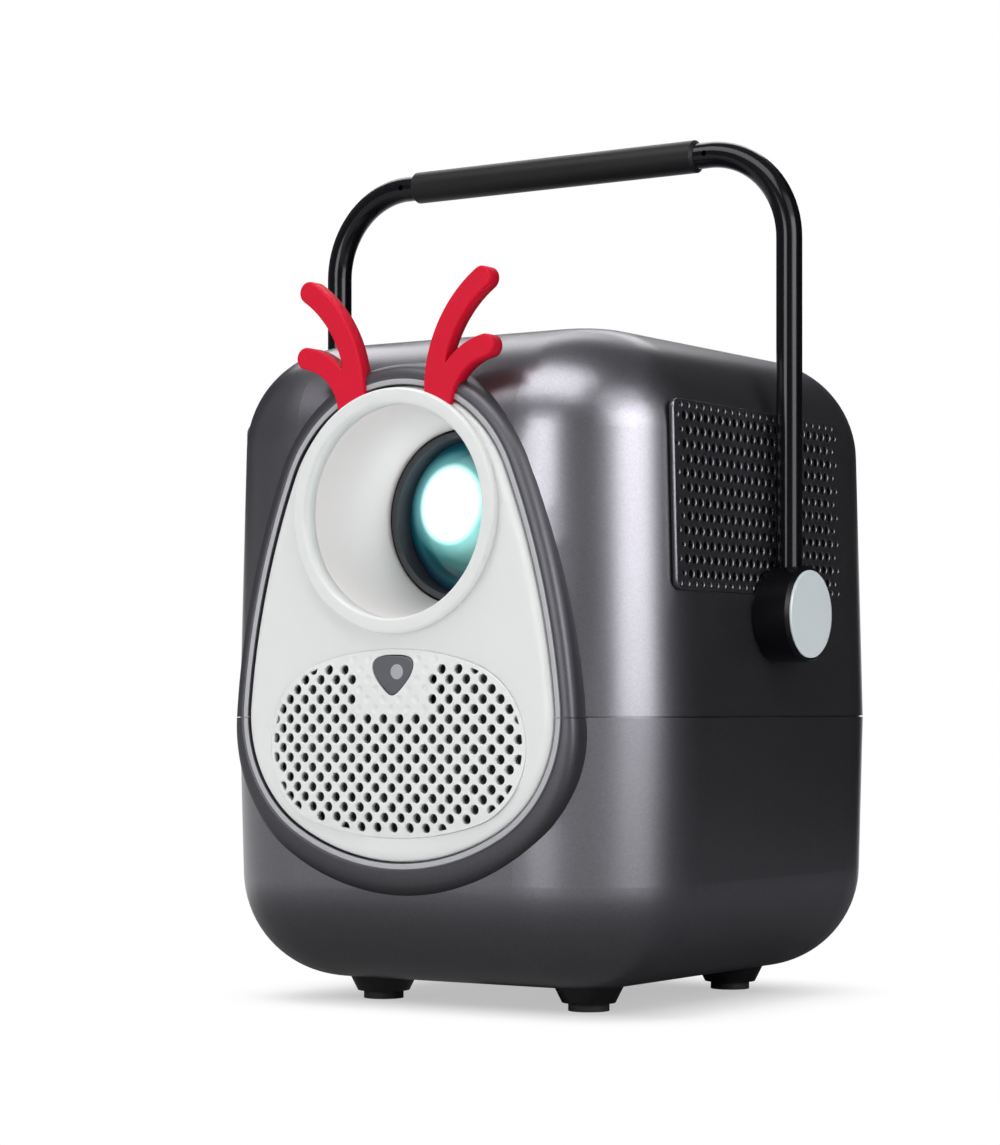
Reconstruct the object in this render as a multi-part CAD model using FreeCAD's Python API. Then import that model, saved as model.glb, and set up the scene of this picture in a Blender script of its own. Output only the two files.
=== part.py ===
import FreeCAD, Part
import math
import os
from FreeCAD import Vector

# A portable projector with a disc drive under its light engine.
# Millimetres. X runs across the front, -Y is the front, +Z is up and the feet stand on z = 0.
# Everything is drawn about the middle of the body; ROW_SHIFT then centres the whole object on the origin.

# ---------------------------------------------------------------- body shells
BODY_W = 161.6          # across the sides, at the parting line
BODY_D = 177.5          # front to back, at the parting line
BODY_TOP = 205.5
FOOT_H = 7.6            # the body's underside stands this high
PARTING_Z = 89.0        # where the upper and lower shells meet
PLAN_R = 41.0           # vertical corners, seen from above
EDGE_R = 33.0           # rounding of the top and bottom edges
DRAFT = 0.026           # how far a wall leans in per millimetre away from the parting line
WALL = 2.4
EDGE_FLAT_COUNT = 3     # flats that the inside of a rounded edge is moulded with
LAP_H = 3.0             # tongue of the lower shell inside the upper shell
LAP_T = 1.0
LAP_GAP = 0.1
PART_GROOVE = 0.4       # shadow gap between the shells

# ---------------------------------------------------------------- front plate and what sits in it
PLATE_TOP_R = 41.4      # the four arcs of the egg-shaped plate
PLATE_TOP_Z = 146.3
PLATE_FLANK_R = 238.0
PLATE_HALF_W = 56.2
PLATE_CORNER_R = 38.9
PLATE_BOTTOM_R = 71.4
PLATE_BOTTOM_Z = 46.0
PLATE_T = 3.0
PLATE_PROUD = 1.3       # plate's face in front of the body's face
PLATE_GAP = 0.4         # shadow gap round the plate
PLATE_EDGE_R = 1.6
LIP_W = 2.0             # bright lip round the plate
LIP_PROUD = 0.8
BEVEL_DEPTH = 2.2       # behind the lip a bevel runs outwards
BEVEL_SIDE = 2.4
BEVEL_BOTTOM = 6.0
SKIRT_DEPTH = 13.0      # then a steep skirt runs back into the body
SKIRT_SIDE = 3.2
SKIRT_TOP = 5.3
SKIRT_BOTTOM = 9.0
CLIP_W = 8.0            # snap clips of the plate
CLIP_T = 1.6
CLIP_BARB = 0.8
CLIP_GAP = 0.2

AXIS_Z = 150.5          # optical axis
RING_IN_R = 32.0
RING_OUT_R = 36.6
RING_PROUD = 2.4        # ring's face in front of the plate's face
RING_SPIGOT_R = 33.4
RING_EDGE = 0.6
SEAT_GAP = 0.15         # gap of a part that is pushed into its seat

FUNNEL_WALL = 1.5
FUNNEL_FLANGE_R = 37.4
FUNNEL_FLANGE_T = 1.2
FUNNEL_END_R = 27.2     # inside, at its back end
FUNNEL_LENGTH = 33.0

GRILLE_HALF_W = 46.3
GRILLE_HALF_H = 27.3
GRILLE_END_R = 24.0
GRILLE_Z = 80.4
GRILLE_T = 2.0
GRILLE_LEDGE = 2.0
HOLE_R = 1.6            # hexagonal grille holes, across corners / 2
HOLE_PITCH_X = 5.8
HOLE_PITCH_Z = 6.12
HOLE_EDGE = 1.3         # solid rim between the last holes and the grille's edge
NOSE_Z = 101.0
NOSE_HALF_W = 7.0
NOSE_TOP = 5.3
NOSE_BOTTOM = 5.4
NOSE_SHOULDER = 2.2
NOSE_CORNER_R = 1.4
NOSE_PROUD = 0.7
NOSE_FLANGE = 1.2
NOSE_SOLID_HALF_W = 19.0    # the grille stays closed round the window
NOSE_SOLID_H = 8.5

# ---------------------------------------------------------------- antlers
ANTLER_T = 5.0
ANTLER_FACE = 1.0       # antler's face behind the ring's face
ANTLER_LIMB = 6.7       # width of a limb
ANTLER_ROOT_ANGLE = 65.0    # place on the ring, up from the X axis
ANTLER_TAB = 2.2        # tab let into the ring's wall
ANTLER_TAB_W = 6.0
ANTLER_TAB_T = 1.0
BEAM_ROOT = (14.4, 184.0)
BEAM_BEND = (19.4, 204.8)
BEAM_TIP = (31.3, 217.6)
BRANCH_ROOT = (17.2, 182.4)
BRANCH_BEND = (22.9, 193.0)
BRANCH_TIP = (32.4, 197.7)

# ---------------------------------------------------------------- side vents
VENT_Y0 = -61.0
VENT_Y1 = 45.0
VENT_Z0 = 126.5
VENT_Z1 = 182.5
VENT_RECESS = 0.8
VENT_T = 1.0
VENT_RIM = 2.0
VENT_HOLE_R = 3.8       # diamond holes of the panel, across corners / 2
VENT_PITCH = 12.2
VENT_CORNER_R = 3.0

# ---------------------------------------------------------------- handle
PIVOT_Z = 120.5
HANDLE_TOP_Z = 264.0    # grip's centreline
TUBE_R = 4.0
TUBE_WALL = 1.0
TUBE_BEND_R = 28.0
HUB_WALL = 0.6          # hub wall between the tube and the body
HUB_R = 14.8
HUB_LENGTH = 11.7
HUB_BEVEL = 0.9
HUB_GAP = 0.3           # hub to body
PAD_R = 13.0            # flat pad that the hub turns against
PAD_PROUD = 0.1
CAP_R = 13.4
CAP_T = 1.6
CAP_PROUD = 0.7
GRIP_R = 5.1
GRIP_HALF_L = 53.5
GRIP_BEVEL = 0.9
GRIP_GAP = 0.05
TUBE_HOLE_R = 0.9       # small blow holes either side of the grip
TUBE_HOLE_OFFSET = 4.0
PIN_R = 3.0
PIN_RUNNING_GAP = 0.04
PIN_HEAD_R = 5.5
PIN_HEAD_T = 1.8
PIN_CLIP_T = 1.2
PIN_CLIP_R = 4.5
BUSHING_R = 5.0
BUSHING_LENGTH = 12.5
PIVOT_BOSS_R = 8.0
TUBE_SOCKET = 5.5       # tube's end above the pivot's axis

# ---------------------------------------------------------------- feet
FOOT_X = 38.2
FOOT_PITCH_Y = 88.2
FOOT_AFT = 1.7          # the feet stand this far behind the body's middle
FOOT_TOP_R = 10.75
FOOT_TIP_R = 8.2
PAD_FOOT_R = 6.3
PAD_FOOT_H = 2.5
PAD_FOOT_LET_IN = 1.0
FOOT_STUD_R = 2.5
TRIPOD_BORE_R = 2.6
TRIPOD_INSERT_R = 4.5
TRIPOD_LENGTH = 9.0
TRIPOD_BOSS_R = 7.5

# ---------------------------------------------------------------- projection lens and focus
BARREL_R = 26.5
BARREL_WALL = 2.0
BARREL_FRONT = 38.0     # barrel's front rim behind the ring's face
BARREL_LENGTH = 44.0
BARREL_RIM = 1.8        # rim in front of the glass
LENS_T = 9.0
LENS_LEDGE = 1.5        # ledge that the glass rests on, inside the barrel
LENS_BULGE_R = 60.0
ROD_R = 2.0
ROD_X = 34.0
ROD_GAP = 0.05
LUG_LENGTH = 14.0
LUG_H = 9.0
LUG_WALL = 2.2
FOCUS_TRAVEL = 4.0
WHEEL_R = 14.0
WHEEL_PROUD = 2.5       # above the body's top
WHEEL_T = 5.0
WHEEL_X = 6.5           # middle of the thumbwheel
WHEEL_FLUTES = 18
FLUTE_R = 1.0
SLOT_GAP = 0.7
TOOTH_MODULE = 1.0
PINION_TEETH = 12
RACK_TEETH = 9
TOOTH_PLAY = 0.12
GEAR_T = 6.0
RACK_T = 5.0
AXLE_R = 1.5
AXLE_GAP = 0.04
CHEEK_T = 2.5
CHEEK_GAP = 0.5

# ---------------------------------------------------------------- light engine
ENGINE_HALF_W = 46.0
ENGINE_WALL = 2.0
ENGINE_Z0 = 112.0
ENGINE_Z1 = 188.0
ENGINE_SPACE = 2.45     # barrel, focused all the way back, to the tunnel
ENGINE_LENGTH = 50.0
LEG_W = 18.0
BRACKET_T = 4.0
LCD_T = 3.0
LCD_SPACE = 2.0         # front wall of the tunnel to the picture panel
FRESNEL_SPACE = 2.5
FRESNEL_T = 2.0
CONDENSER_R = 22.0
CONDENSER_T = 10.0
LED_SIZE = 40.0
LED_T = 3.0
SINK_W = 70.0
SINK_H = 60.0
SINK_BASE = 4.0
SINK_SPACE = 11.35      # fins to the back wall
SINK_FINS = 9
SINK_FIN_T = 1.4

# ---------------------------------------------------------------- cooling fan
FAN_SIZE = 50.0
FAN_T = 15.0
FAN_Y = 20.0
FAN_STANDOFF = 3.5      # between the vent panel and the fan
FAN_BORE_R = 23.5
FAN_TIP_GAP = 0.8
FAN_HUB_R = 9.5
FAN_BLADES = 7
BLADE_T = 1.2
BLADE_PITCH = 38.0
FAN_SPOKE = 2.4
FAN_POST = 5.0

# ---------------------------------------------------------------- speakers
SPEAKER_X = 21.8
SPEAKER_R = 17.0
SPEAKER_FLANGE_T = 1.4
SPEAKER_BASKET = 12.0
SPEAKER_MAGNET_R = 11.0
SPEAKER_MAGNET_T = 7.0
SPEAKER_DISH = 5.0
SPEAKER_DOME_R = 6.0

# ---------------------------------------------------------------- disc drive
DRIVE_Z0 = 33.5
DRIVE_T = 12.7
DRIVE_W = 127.0         # along Y
DRIVE_L = 127.0         # along X
DRIVE_SHEET = 0.8
BEZEL_DEPTH = 7.3       # body's side to the tray's front
MOUTH_SET_BACK = 4.5    # tray's front to the drive's mouth
DISC_SET_BACK = 61.9    # tray's front to the disc's middle
TRAY_L = 123.0
TRAY_SIDE_SPACE = 3.25  # drive's side to the tray, with the rail between
TRAY_T = 4.6
TRAY_TOP_GAP = 1.0
TRAY_SLIDE_GAP = 0.4
DISC_R = 60.0
DISC_WELL_GAP = 0.6
DISC_WELL_DEPTH = 2.4
BEZEL_W = 128.0
BEZEL_H = 14.4
BEZEL_GAP = 0.4
BEZEL_WALL = 2.2
RAIL_W = 1.6
RAIL_H = 4.2
RAIL_L = 116.0
SPINDLE_R = 11.0
SPINDLE_BOSS_R = 7.3
SPINDLE_H = 2.2
MOTOR_PLATE_T = 0.8     # plate that screws the motor to the tray's underside
MOTOR_PLATE = 3.0       # and how far it stands out
MOTOR_R = 12.5
MOTOR_T = 5.2
SHAFT_R = 1.2
SPINDLE_CLEARANCE = 0.6 # turntable over the motor
TRAVERSE_ANGLE = 45.0   # the laser travels from the spindle towards the tray's rear corner
SLED_W = 26.0           # across the travel
SLED_L = 13.0           # along the travel
SLED_LEAD = 5.0         # laser to the outer end of the sled
SLED_T = 4.4
SLED_START = 24.0       # laser's distance from the spindle at rest
SLED_TRAVEL = 33.5
SLED_STOP_GAP = 0.5
SLED_CHEEK_T = 2.5      # cheeks under the tray that hold the rods and the screw
SLED_ROD_INSET = 2.5
SLED_ROD_R = 1.25
SLED_ROD_GAP = 0.05
LASER_R = 2.6
LASER_PROUD = 0.5
SCREW_R = 1.25
EJECT_Y = 45.0
EJECT_W = 9.0
EJECT_H = 3.6
EJECT_PROUD = 0.5
EJECT_GAP = 0.3

# ---------------------------------------------------------------- chassis, boards and ports
CHASSIS_GAP = 2.2       # over the disc drive
CHASSIS_T = 1.5
CHASSIS_W = 120.0
CHASSIS_D = 150.0
TOWER_X = 52.0          # corner towers that carry the chassis
TOWER_Y = 73.5
TOWER_SIZE = 12.0
POST_R = 4.0
SCREW_SEAT_Z = 70.0
SCREW_HEAD_R = 3.0
SCREW_HEAD_T = 2.2
SCREW_SHAFT_R = 1.5
SCREW_LENGTH = 27.0
SCREW_GAP = 0.4
BOARD_T = 1.6
BOARD_STANDOFF = 5.0
MAIN_X0 = -40.0
MAIN_X1 = 13.0
MAIN_Y0 = 0.0
POWER_X0 = 17.0
POWER_X1 = 43.0
POWER_Y0 = -58.0
POWER_Y1 = 50.0
PROCESSOR_SINK = (22.0, 22.0, 6.0)      # width, depth and height of the boards' larger parts
TUNER_CAN = (12.0, 12.0, 9.0)
TRANSFORMER = (20.0, 26.0, 22.0)
CAPACITOR = (14.0, 14.0, 26.0)
SWITCH_SINK = (20.0, 8.0, 16.0)
STANDOFF_W = 4.0
PORT_RECESS = 0.6
PORT_WALL = 0.5
SOCKET_BACK = 2.0       # closed back of a socket
SOCKET_TONGUE_IN = 1.0  # tongue behind the socket's face
USB_X = -18.0
USB_W = 13.2
USB_H = 5.8
USB_L = 14.0
HDMI_X = 3.0
HDMI_W = 15.0
HDMI_H = 5.6
HDMI_L = 12.0
JACK_X = -33.0
JACK_R = 3.2
JACK_BORE_R = 1.8
JACK_LENGTH = 14.0
INLET_X = 28.0
INLET_Z = 66.0
INLET_W = 20.0
INLET_H = 12.0
INLET_L = 20.0
INLET_WELL_R = 4.2
INLET_PIN_PITCH = 8.6
INLET_PIN_R = 1.2
INLET_DEPTH = 12.5
INLET_RIM = 1.5         # flange against the wall's inner face
PORT_GAP = 0.3

# ---------------------------------------------------------------- keys on the top
KEY_Y = 30.0
KEY_PITCH = 24.0
KEY_R = 5.5
KEY_PROUD = 0.8
KEY_GAP = 0.3
KEY_FLANGE = 1.3
KEY_FLANGE_T = 1.2
KEY_TRAVEL = 0.6
KEY_PLAY = 0.3          # flange to shell
ROCKER_L = 20.0
ROCKER_W = 9.0
ROCKER_PIN_R = 1.0
KEY_BOARD_DROP = 7.0    # key board's face under the shell's inside
SWITCH = 4.0

# ---------------------------------------------------------------- worked out from the values above
BODY_BOTTOM = FOOT_H
FRONT_Y = -BODY_D / 2
BACK_Y = BODY_D / 2
PLATE_FACE_Y = FRONT_Y - PLATE_PROUD
PLATE_BACK_Y = PLATE_FACE_Y + PLATE_T
RING_FACE_Y = PLATE_FACE_Y - RING_PROUD
LIP_FACE_Y = FRONT_Y - LIP_PROUD
BACKING_Y = PLATE_BACK_Y + WALL         # inside face of the wall behind the plate
GRILLE_BACK_Y = PLATE_FACE_Y + GRILLE_T
FUNNEL_END_Y = PLATE_BACK_Y + FUNNEL_LENGTH
BARREL_Y = RING_FACE_Y + BARREL_FRONT
ROW_SHIFT = Vector(0, -(RING_FACE_Y + BACK_Y) / 2, 0)
PIVOT_Y = -ROW_SHIFT.y                  # the handle is hung over the middle of the whole object
INSIDE_TOP = BODY_TOP - WALL
CORE_X = BODY_W / 2 - PLAN_R
CORE_Y = BODY_D / 2 - PLAN_R
EDGE_ROUND = min(EDGE_R, PLAN_R - DRAFT * (BODY_TOP - PARTING_Z) - WALL)
PAD_X = BODY_W / 2 - DRAFT * (PIVOT_Z - PAD_R - PARTING_Z) + PAD_PROUD
HUB_X = PAD_X + HUB_GAP
LEG_X = HUB_X + HUB_WALL + TUBE_R
PIN_END_X = PAD_X - BUSHING_LENGTH - HUB_GAP
WHEEL_Z = BODY_TOP + WHEEL_PROUD - WHEEL_R
PITCH_R = TOOTH_MODULE * PINION_TEETH / 2
RACK_Z = WHEEL_Z - PITCH_R
WHEEL_Y = BARREL_Y + BARREL_LENGTH - 14.0
DRIVE_Z1 = DRIVE_Z0 + DRIVE_T
TRAY_FRONT_X = BEZEL_DEPTH - BODY_W / 2
TRAY_W = DRIVE_W - 2 * TRAY_SIDE_SPACE
DRIVE_MOUTH_X = TRAY_FRONT_X + MOUTH_SET_BACK
DISC_CENTRE_X = TRAY_FRONT_X + DISC_SET_BACK
TRAY_Z1 = DRIVE_Z1 - DRIVE_SHEET - TRAY_TOP_GAP
TRAY_Z0 = TRAY_Z1 - TRAY_T
CHASSIS_Z = DRIVE_Z1 + CHASSIS_GAP
BOARD_Z = CHASSIS_Z + CHASSIS_T + BOARD_STANDOFF
BEZEL_Z = DRIVE_Z0 + DRIVE_T / 2 - BEZEL_H / 2
KEY_BOARD_Z = INSIDE_TOP - KEY_BOARD_DROP
ENGINE_Y0 = BARREL_Y + BARREL_LENGTH + FOCUS_TRAVEL + ENGINE_SPACE
SINK_FIN = BACK_Y - WALL - SINK_SPACE - (ENGINE_Y0 + ENGINE_LENGTH + LED_T + SINK_BASE)
LCD_Y = ENGINE_Y0 + ENGINE_WALL + LCD_SPACE
FAN_Z = (VENT_Z0 + VENT_Z1) / 2


# ---------------------------------------------------------------- shapes that many pieces use
def box(x0, x1, y0, y1, z0, z1):
    return Part.makeBox(x1 - x0, y1 - y0, z1 - z0, Vector(x0, y0, z0))


def rod(radius, start, end):
    """Round bar between two points."""
    along = end - start
    return Part.makeCylinder(radius, along.Length, start, along)


def join(shapes):
    whole = shapes[0]
    if len(shapes) > 1:
        whole = whole.multiFuse(shapes[1:])
    return whole.removeSplitter()


def mirrored(shape):
    """The same piece on the other side of the body's middle plane."""
    return shape.mirror(Vector(0, 0, 0), Vector(1, 0, 0))


def spun(profile, base, axis_direction):
    """Turned part: profile is (radius, distance along the axis) from the base point."""
    side = Vector(0, 0, 1) if abs(axis_direction.z) < 0.5 else Vector(1, 0, 0)
    corners = [base + side * radius + axis_direction * along for radius, along in profile]
    face = Part.Face(Part.makePolygon(corners + corners[:1]))
    return face.revolve(base, axis_direction, 360)


def wall_out(z, inset=0.0):
    """How far the wall stands out from the core at a height; it leans in from the parting line."""
    return PLAN_R - DRAFT * abs(z - PARTING_Z) - inset * math.hypot(1, DRAFT)


def around_core(corners):
    """Body of rounded plan whose wall has this section all the way round.

    The section lies in the XZ plane with x counted outwards from the core, the rectangle that
    the corner arcs are struck from. Corners are points or, for a rounded stretch, a tuple of
    its middle and its end.
    """
    edges = []
    here = corners[0]
    for corner in corners[1:] + corners[:1]:
        if isinstance(corner, tuple):
            edges.append(Part.Arc(here, corner[0], corner[1]).toShape())
            here = corner[1]
        else:
            edges.append(Part.makeLine(here, corner))
            here = corner
    section = Part.Face(Part.Wire(edges))
    z0 = section.BoundBox.ZMin
    z1 = section.BoundBox.ZMax
    pieces = [box(-CORE_X, CORE_X, -CORE_Y, CORE_Y, z0, z1)]
    for quarter, (x, y) in enumerate([(CORE_X, CORE_Y), (-CORE_X, CORE_Y), (-CORE_X, -CORE_Y), (CORE_X, -CORE_Y)]):
        turned = section.copy()
        turned.rotate(Vector(0, 0, 0), Vector(0, 0, 1), 90 * quarter)
        turned.translate(Vector(x, y, 0))
        pieces.append(turned.revolve(Vector(x, y, 0), Vector(0, 0, 1), 90))
        length = 2 * (CORE_Y if quarter % 2 == 0 else CORE_X)
        back = Vector(math.sin(math.radians(90 * quarter)), -math.cos(math.radians(90 * quarter)), 0)
        pieces.append(turned.extrude(back * length))
    return join(pieces)


def rounded_half(end_z, inset, flats):
    """Half of the body from the parting line to its rounded end; flats replace the rounding inside."""
    way = 1 if end_z > PARTING_Z else -1
    rise = abs(end_z - PARTING_Z) - EDGE_ROUND
    out = PLAN_R - DRAFT * rise - EDGE_ROUND * math.hypot(1, DRAFT)
    radius = EDGE_ROUND - inset
    first = math.atan(DRAFT)

    def on_edge(share):
        angle = first + (math.pi / 2 - first) * share
        return Vector(out + radius * math.cos(angle), 0, PARTING_Z + way * (rise + radius * math.sin(angle)))

    corners = [Vector(0, 0, PARTING_Z), Vector(wall_out(PARTING_Z, inset), 0, PARTING_Z), on_edge(0)]
    if flats:
        corners += [on_edge(step / flats) for step in range(1, flats + 1)]
    else:
        corners.append((on_edge(0.5), on_edge(1)))
    corners.append(Vector(0, 0, end_z - way * inset))
    return around_core(corners)


def outside(end_z):
    """Outer form of one half of the body."""
    return rounded_half(end_z, 0.0, 0)


def cavity(end_z, inset=WALL):
    """Room inside one half of the body."""
    return rounded_half(end_z, inset, EDGE_FLAT_COUNT)


def band(z0, z1, inset):
    """Level slice of the body between two heights, its wall moved inwards by inset."""
    heights = [z0] + [PARTING_Z] * (z0 < PARTING_Z < z1) + [z1]
    wall = [Vector(wall_out(z, inset), 0, z) for z in heights]
    return around_core([Vector(0, 0, z0)] + wall + [Vector(0, 0, z1)])


def egg(y, side=0.0, top=None, bottom=None):
    """Outline of the front plate, grown outwards: four radii that run into each other."""
    top = side if top is None else top
    bottom = side if bottom is None else bottom
    top_r = PLATE_TOP_R + top
    flank_r = PLATE_FLANK_R + side
    half_w = PLATE_HALF_W + side
    corner_r = PLATE_CORNER_R + side
    bottom_r = PLATE_BOTTOM_R + side
    flank_x = half_w - flank_r
    flank_z = PLATE_TOP_Z - math.sqrt((flank_r - top_r) ** 2 - flank_x ** 2)
    bottom_z = PLATE_BOTTOM_Z - bottom + bottom_r
    to_flank = flank_r - corner_r
    to_bottom = bottom_r - corner_r
    span = math.hypot(flank_x, bottom_z - flank_z)
    along = (to_flank ** 2 - to_bottom ** 2 + span ** 2) / (2 * span)
    off = math.sqrt(max(to_flank ** 2 - along ** 2, 0.0))
    unit_x = -flank_x / span
    unit_z = (bottom_z - flank_z) / span
    corner_x = flank_x + unit_x * along + abs(unit_z) * off
    corner_z = flank_z + unit_z * along - math.copysign(unit_x, unit_z) * off

    def on(cx, cz, radius, angle):
        return Vector(cx + radius * math.cos(angle), y, cz + radius * math.sin(angle))

    top_angle = math.atan2(PLATE_TOP_Z - flank_z, -flank_x)
    side_angle = math.atan2(corner_z - flank_z, corner_x - flank_x)
    foot_angle = math.atan2(corner_z - bottom_z, corner_x)
    shoulder = on(0, PLATE_TOP_Z, top_r, top_angle)
    waist = on(corner_x, corner_z, corner_r, side_angle)
    foot = on(corner_x, corner_z, corner_r, foot_angle)
    flank_mid = on(flank_x, flank_z, flank_r, (top_angle + side_angle) / 2)
    corner_mid = on(corner_x, corner_z, corner_r, (side_angle + foot_angle) / 2)
    other = lambda p: Vector(-p.x, p.y, p.z)
    arcs = [
        Part.Arc(shoulder, flank_mid, waist),
        Part.Arc(waist, corner_mid, foot),
        Part.Arc(foot, Vector(0, y, bottom_z - bottom_r), other(foot)),
        Part.Arc(other(foot), other(corner_mid), other(waist)),
        Part.Arc(other(waist), other(flank_mid), other(shoulder)),
        Part.Arc(other(shoulder), Vector(0, y, PLATE_TOP_Z + top_r), shoulder),
    ]
    return Part.Wire([arc.toShape() for arc in arcs])


def oval(y, grow=0.0):
    """Outline of the speaker grille: two end arcs joined by two flatter ones."""
    half_w = GRILLE_HALF_W + grow
    half_h = GRILLE_HALF_H + grow
    end_r = GRILLE_END_R + grow
    reach = half_w - end_r
    flat_r = (reach ** 2 + half_h ** 2 - end_r ** 2) / (2 * (half_h - end_r))
    ratio = end_r / (flat_r - end_r)
    joint_x = reach + reach * ratio
    joint_z = (flat_r - half_h) * ratio
    at = lambda x, z: Vector(x, y, GRILLE_Z + z)
    arcs = [
        Part.Arc(at(-joint_x, joint_z), at(0, half_h), at(joint_x, joint_z)),
        Part.Arc(at(joint_x, joint_z), at(half_w, 0), at(joint_x, -joint_z)),
        Part.Arc(at(joint_x, -joint_z), at(0, -half_h), at(-joint_x, -joint_z)),
        Part.Arc(at(-joint_x, -joint_z), at(-half_w, 0), at(-joint_x, joint_z)),
    ]
    return Part.Wire([arc.toShape() for arc in arcs])


def nose_outline(y, grow=0.0):
    """Rounded triangle of the remote control's window."""
    half_w = NOSE_HALF_W + grow
    top = NOSE_TOP + grow
    corners = [
        Vector(-half_w + NOSE_SHOULDER, y, NOSE_Z + top),
        Vector(half_w - NOSE_SHOULDER, y, NOSE_Z + top),
        Vector(half_w, y, NOSE_Z + top - 1.4 * NOSE_SHOULDER),
        Vector(0, y, NOSE_Z - NOSE_BOTTOM - grow),
        Vector(-half_w, y, NOSE_Z + top - 1.4 * NOSE_SHOULDER),
    ]
    return Part.makePolygon(corners + corners[:1])


def slab(wire, depth):
    """Flat piece of that outline, depth deep towards the back."""
    return Part.Face(wire).extrude(Vector(0, depth, 0))


def nose_block(y, depth, grow=0.0):
    block = slab(nose_outline(y, grow), depth)
    uprights = [e for e in block.Edges if abs(e.Vertexes[0].Y - e.Vertexes[1].Y) > depth / 2]
    return block.makeFillet(NOSE_CORNER_R, uprights)


def half_space(upper):
    reach = 3 * max(BODY_W, BODY_D, BODY_TOP)
    if upper:
        return box(-reach, reach, -reach, reach, PARTING_Z, reach)
    return box(-reach, reach, -reach, reach, -reach, PARTING_Z)


# ---------------------------------------------------------------- where the vent panels lie
def vent_slab(out, depth, grow, side=1):
    """Tilted slab on the side wall's plane: out of the wall by out, depth thick, inwards."""
    height = VENT_Z1 - VENT_Z0 + 2 * grow
    length = VENT_Y1 - VENT_Y0 + 2 * grow
    slab_box = Part.makeBox(depth, length, height, Vector(out - depth, VENT_Y0 - grow, -height / 2))
    uprights = [e for e in slab_box.Edges if abs(e.Vertexes[0].X - e.Vertexes[1].X) > depth / 2]
    slab_box = slab_box.makeFillet(VENT_CORNER_R + grow, uprights)
    return place_on_side(slab_box, side)


def place_on_side(shape, side):
    """Moves a shape drawn about x = 0 onto the leaning side wall, at the vents' middle height."""
    middle_z = (VENT_Z0 + VENT_Z1) / 2
    wall_x = BODY_W / 2 - DRAFT * (middle_z - PARTING_Z)
    moved = shape.copy()
    moved.rotate(Vector(0, 0, 0), Vector(0, 1, 0), -math.degrees(math.atan(DRAFT)))
    moved.translate(Vector(wall_x, 0, middle_z))
    return moved if side > 0 else mirrored(moved)


# ---------------------------------------------------------------- shells
def plinth(upper):
    """Raised skirt that carries the plate, and the flat wall behind the plate."""
    lip = LIP_W + PLATE_GAP
    bevel = lip + BEVEL_SIDE
    outlines = [egg(LIP_FACE_Y, lip),
                egg(LIP_FACE_Y + BEVEL_DEPTH, bevel, bevel, lip + BEVEL_BOTTOM),
                egg(LIP_FACE_Y + SKIRT_DEPTH, lip + SKIRT_SIDE, lip + SKIRT_TOP, lip + SKIRT_BOTTOM)]
    skirt = Part.makeLoft(outlines, True, True)
    wall = slab(egg(LIP_FACE_Y, lip), BACKING_Y - LIP_FACE_Y)
    return [piece.common(half_space(upper)) for piece in (skirt, wall)]


def plate_openings():
    """The seat of the plate, and the holes behind it for the lens funnel, speakers and clips."""
    seat = slab(egg(LIP_FACE_Y - WALL, PLATE_GAP), PLATE_BACK_Y - LIP_FACE_Y + WALL)
    funnel_hole = rod(FUNNEL_FLANGE_R - 1.6, Vector(0, PLATE_BACK_Y - 1, AXIS_Z),
                      Vector(0, BACKING_Y + 2 * WALL, AXIS_Z))
    flange_seat = rod(FUNNEL_FLANGE_R + SEAT_GAP, Vector(0, PLATE_BACK_Y - 1, AXIS_Z),
                      Vector(0, PLATE_BACK_Y + FUNNEL_FLANGE_T + SEAT_GAP, AXIS_Z))
    window = slab(oval(PLATE_BACK_Y - 1), WALL + 4 * LIP_W)
    slots = [box(x - CLIP_W / 2 - CLIP_GAP, x + CLIP_W / 2 + CLIP_GAP, PLATE_BACK_Y - 1, BACKING_Y + 1,
                 z - CLIP_GAP, z + CLIP_T + CLIP_BARB + CLIP_GAP) for x, z in clip_places()]
    return [seat, funnel_hole, flange_seat, window] + slots


def clip_places():
    """Lower edge of each snap clip of the plate."""
    low = PLATE_BOTTOM_Z + CLIP_T
    high = GRILLE_Z + GRILLE_HALF_H + 2 * CLIP_T
    return [(-CLIP_W, low), (CLIP_W, low), (-PLATE_TOP_R - 1, high), (PLATE_TOP_R + 1, high)]


def focus_slot():
    half_chord = math.sqrt((WHEEL_R + SLOT_GAP) ** 2 - (INSIDE_TOP - WHEEL_Z) ** 2)
    half_t = WHEEL_T / 2 + SLOT_GAP
    return box(WHEEL_X - half_t, WHEEL_X + half_t, WHEEL_Y - half_chord, WHEEL_Y + half_chord,
               INSIDE_TOP - 1, BODY_TOP + 1)


def key_hole(x):
    return rod(KEY_R + KEY_GAP, Vector(x, KEY_Y, INSIDE_TOP - 1), Vector(x, KEY_Y, BODY_TOP + 1))


def rocker_block(grow, z0, z1):
    x = KEY_PITCH
    half_w = ROCKER_W / 2 + grow
    half_l = ROCKER_L / 2 + grow
    block = box(x - half_w, x + half_w, KEY_Y - half_l, KEY_Y + half_l, z0, z1)
    uprights = [e for e in block.Edges if abs(e.Vertexes[0].Z - e.Vertexes[1].Z) > (z1 - z0) / 2]
    return block.makeFillet(half_w * 0.6, uprights)


def key_posts():
    """Posts that hang the key board under the shell's top."""
    x = KEY_PITCH * 1.5 + POST_R / 2
    return [box(sx * x - POST_R / 2, sx * x + POST_R / 2, KEY_Y - POST_R / 2, KEY_Y + POST_R / 2,
                KEY_BOARD_Z, INSIDE_TOP + 1) for sx in (-1, 1)]


def tower_places():
    return [(sx * TOWER_X, sy * TOWER_Y) for sx in (-1, 1) for sy in (-1, 1)]


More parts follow.
